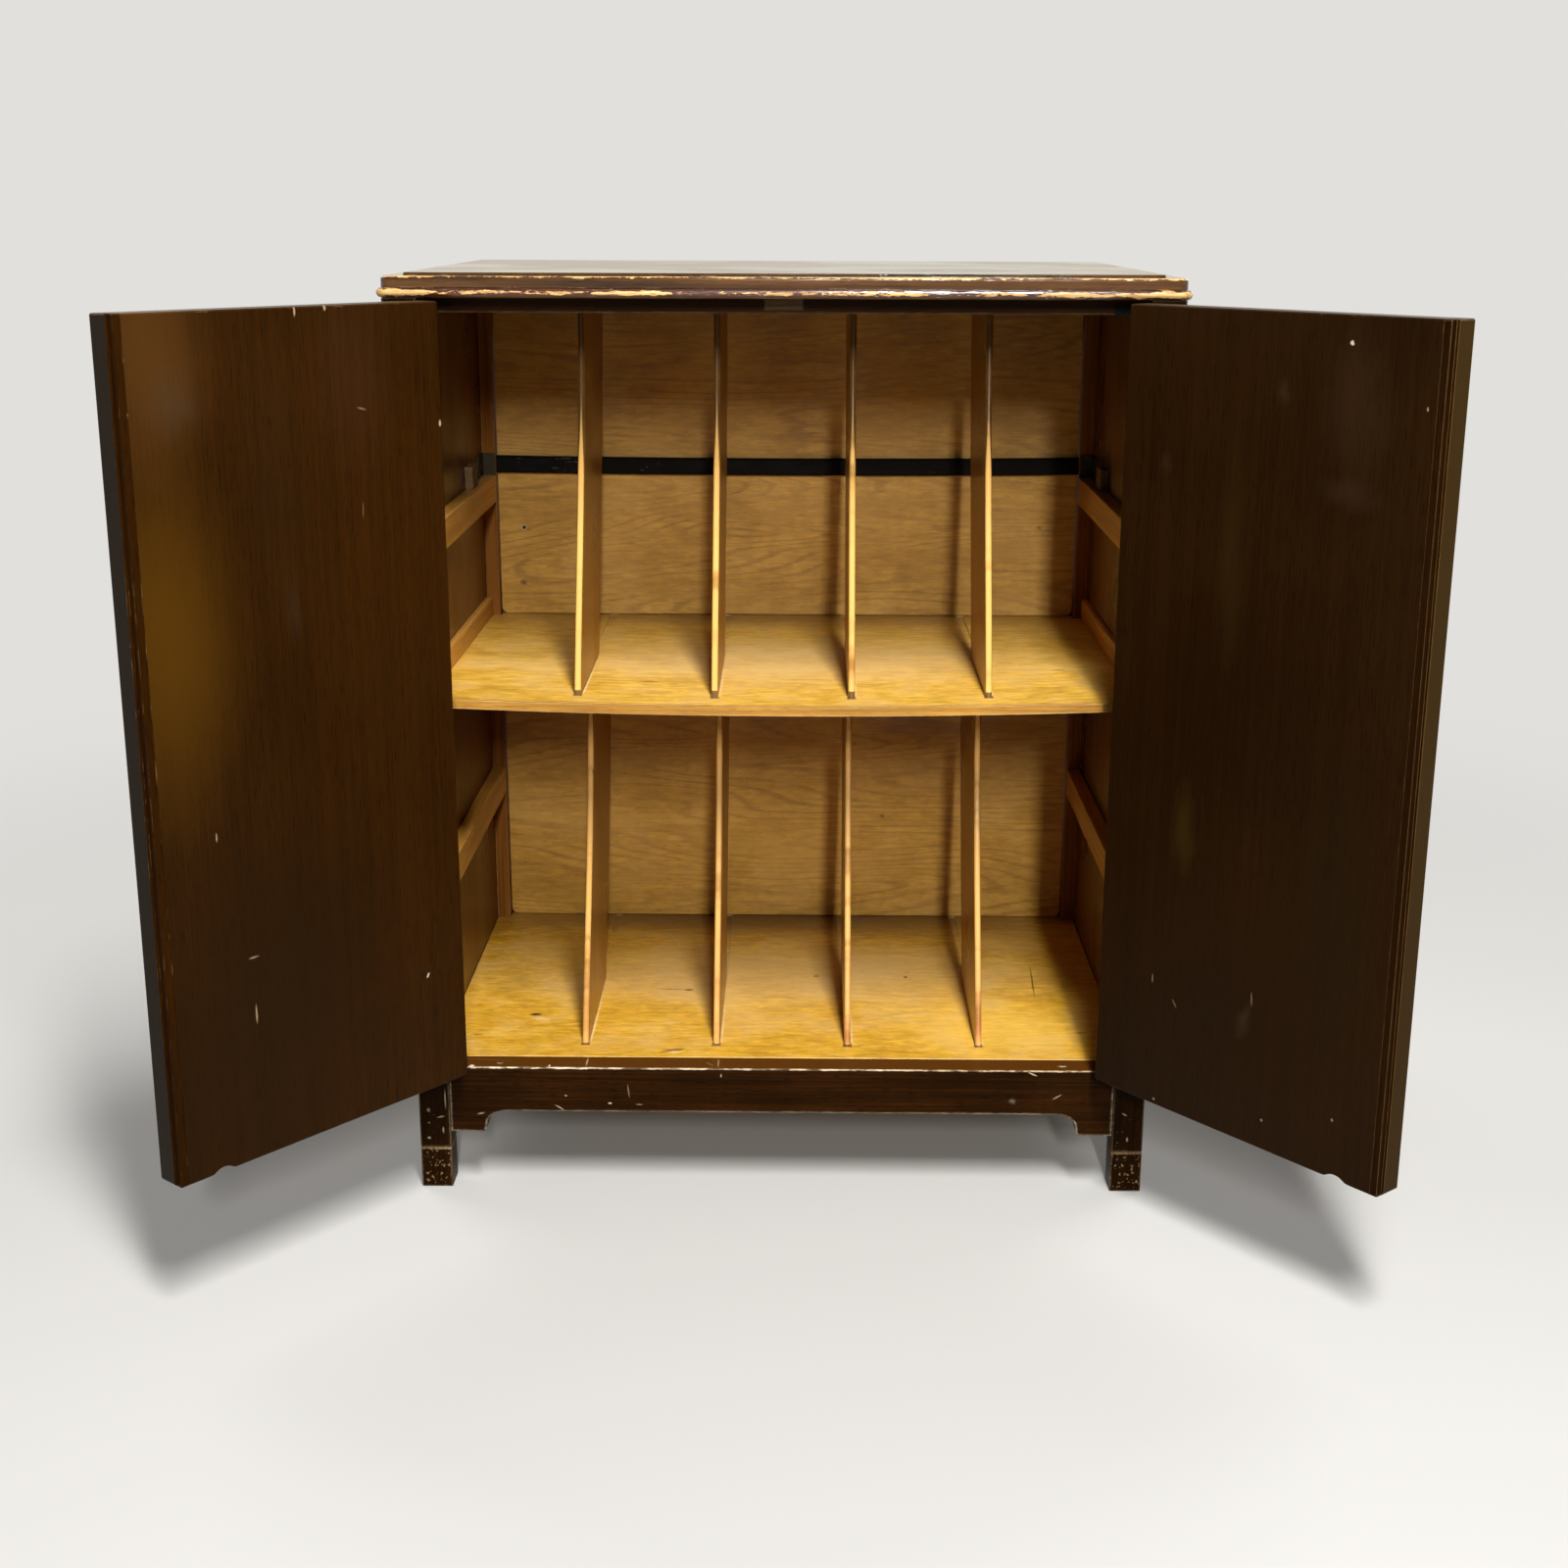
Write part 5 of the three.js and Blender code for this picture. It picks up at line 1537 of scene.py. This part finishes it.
# Painted reflection: an olive glow standing in for light reflected onto the left door.
PAINTED_OLIVE_REFLECTION: Paint = (83, 52, 8)
NICK: Paint = (176, 146, 112)
LEFT_PATCHES = upright(
    # Painted reflection: the olive glow low on the left door.
    (-0.452, -0.327, 0.55, 0.085, 0.19, PAINTED_OLIVE_REFLECTION, 0.8, 0.95, 0.08),
    (-0.452, -0.327, 0.76, 0.07, 0.12, (84, 53, 20), 0.65, 0.95, 0.1),
    # Painted sheen: a grey patch standing in for gloss.
    (-0.44, -0.312, 0.725, 0.03, 0.034, PAINTED_GREY_SHEEN, 0.2, 0.95, 0.25),
    (-0.385, -0.246, 0.66, 0.045, 0.13, (46, 28, 10), 0.4, 0.95, 0.1),
    # Painted sheen: a grey patch standing in for gloss.
    (-0.379, -0.239, 0.56, 0.011, 0.035, PAINTED_GREY_SHEEN, 0.11, 0.95),
    (-0.335, -0.187, 0.73, 0.055, 0.1, (68, 40, 20), 0.3, 0.95, 0.15),
    (-0.4, -0.265, 0.25, 0.17, 0.21, (35, 18, 3), 0.75, 0.95, 0.1),
    (-0.3304, -0.1815, 0.7116, 0.006, 0.0011, NICK, 0.35, 0.7, 0.3, (0.35, 0.0, 0.0)),
    (-0.3326, -0.1842, 0.632, 0.0006, 0.022, NICK, 0.28, 0.6, 0.1, (0.1, 0.0, 0.0)),
    (-0.2797, -0.1211, 0.6944, 0.0016, 0.0032, NICK, 1.0, 0.5),
    (-0.4331, -0.3039, 0.3958, 0.001, 0.0045, NICK, 0.7, 0.5, 0.2),
    (-0.4163, -0.2839, 0.2908, 0.006, 0.0012, NICK, 0.55),
    (-0.4169, -0.2846, 0.2428, 0.0012, 0.01, NICK, 0.75, 0.6, 0.2),
    (-0.3041, -0.1502, 0.226, 0.0013, 0.0065, (214, 200, 184), 0.9, 0.5, 0.2, (0.6, 0.0, 0.0)),
    (-0.368, -0.2266, 0.7886, 0.0012, 0.006, NICK, 0.8, 0.5),
    (-0.35, -0.2049, 0.79, 0.0016, 0.003, NICK, 0.8, 0.5),
    (-0.482, -0.356, 0.1215, 0.005, 0.003, (206, 170, 120), 0.8, 0.6, 0.6),
)
RIGHT_PATCHES = upright(
    (0.4, -0.265, 0.24, 0.15, 0.18, (30, 15, 2), 0.6, 0.95, 0.1),
    (0.42, -0.289, 0.725, 0.042, 0.08, (56, 38, 22), 0.34, 0.95, 0.15),
    (0.42, -0.289, 0.662, 0.038, 0.017, (64, 48, 34), 0.24, 0.95, 0.25),
    (0.3785, -0.2388, 0.7323, 0.009, 0.013, (64, 46, 28), 0.3, 0.95),
    (0.3075, -0.1542, 0.6691, 0.009, 0.012, (60, 46, 28), 0.28, 0.95),
    (0.352, -0.208, 0.6, 0.02, 0.11, (48, 32, 10), 0.5, 0.9),
    (0.3323, -0.1838, 0.37, 0.016, 0.05, (58, 42, 10), 0.5, 0.9),
    (0.379, -0.2395, 0.225, 0.009, 0.03, (58, 46, 26), 0.5, 0.9, 0.4, (-0.4, 0.0, 0.0)),
    (0.43, -0.3, 0.33, 0.05, 0.17, (30, 20, 5), 0.5, 0.9, 0.15),
    (0.4158, -0.2833, 0.7713, 0.0022, 0.0022, (214, 200, 184), 0.9, 0.6, 0.4),
    (0.4593, -0.3351, 0.7284, 0.001, 0.002, NICK, 0.7, 0.5),
    (0.3168, -0.1653, 0.2335, 0.0007, 0.005, NICK, 0.6, 0.5, 0.2),
    (0.3837, -0.2451, 0.2457, 0.0008, 0.009, NICK, 0.4, 0.5, 0.2, (0.1, 0.0, 0.0)),
    (0.3952, -0.2588, 0.1456, 0.0014, 0.0014, NICK, 0.8, 0.5),
    (0.4386, -0.3104, 0.1697, 0.0013, 0.0016, NICK, 0.7, 0.5),
    (0.3222, -0.1717, 0.125, 0.0014, 0.0014, NICK, 0.8, 0.5),
    (0.48, -0.352, 0.124, 0.006, 0.007, (206, 170, 120), 0.9, 0.5, 0.5),
)


def main() -> None:
    """Builds the studio and the sub-assemblies in order."""
    logging.basicConfig(level=logging.INFO, format="%(name)s: %(message)s")
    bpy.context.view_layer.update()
    parts = [
        Studio(),
        TopMoulding(),
        CaseFrame(),
        Interior(),
        Door("left", (52, 27, 4), (43, 22, 3), (42, 34, 26), 0.0, LEFT_CHIPS, LEFT_PATCHES),
        Door("right", (40, 21, 5), (33, 17, 3), (58, 40, 12), 1.0, RIGHT_CHIPS, RIGHT_PATCHES),
    ]
    for part in parts:
        part.build()
        LOG.info("built %s", type(part).__name__)


if __name__ == "__main__":
    main()
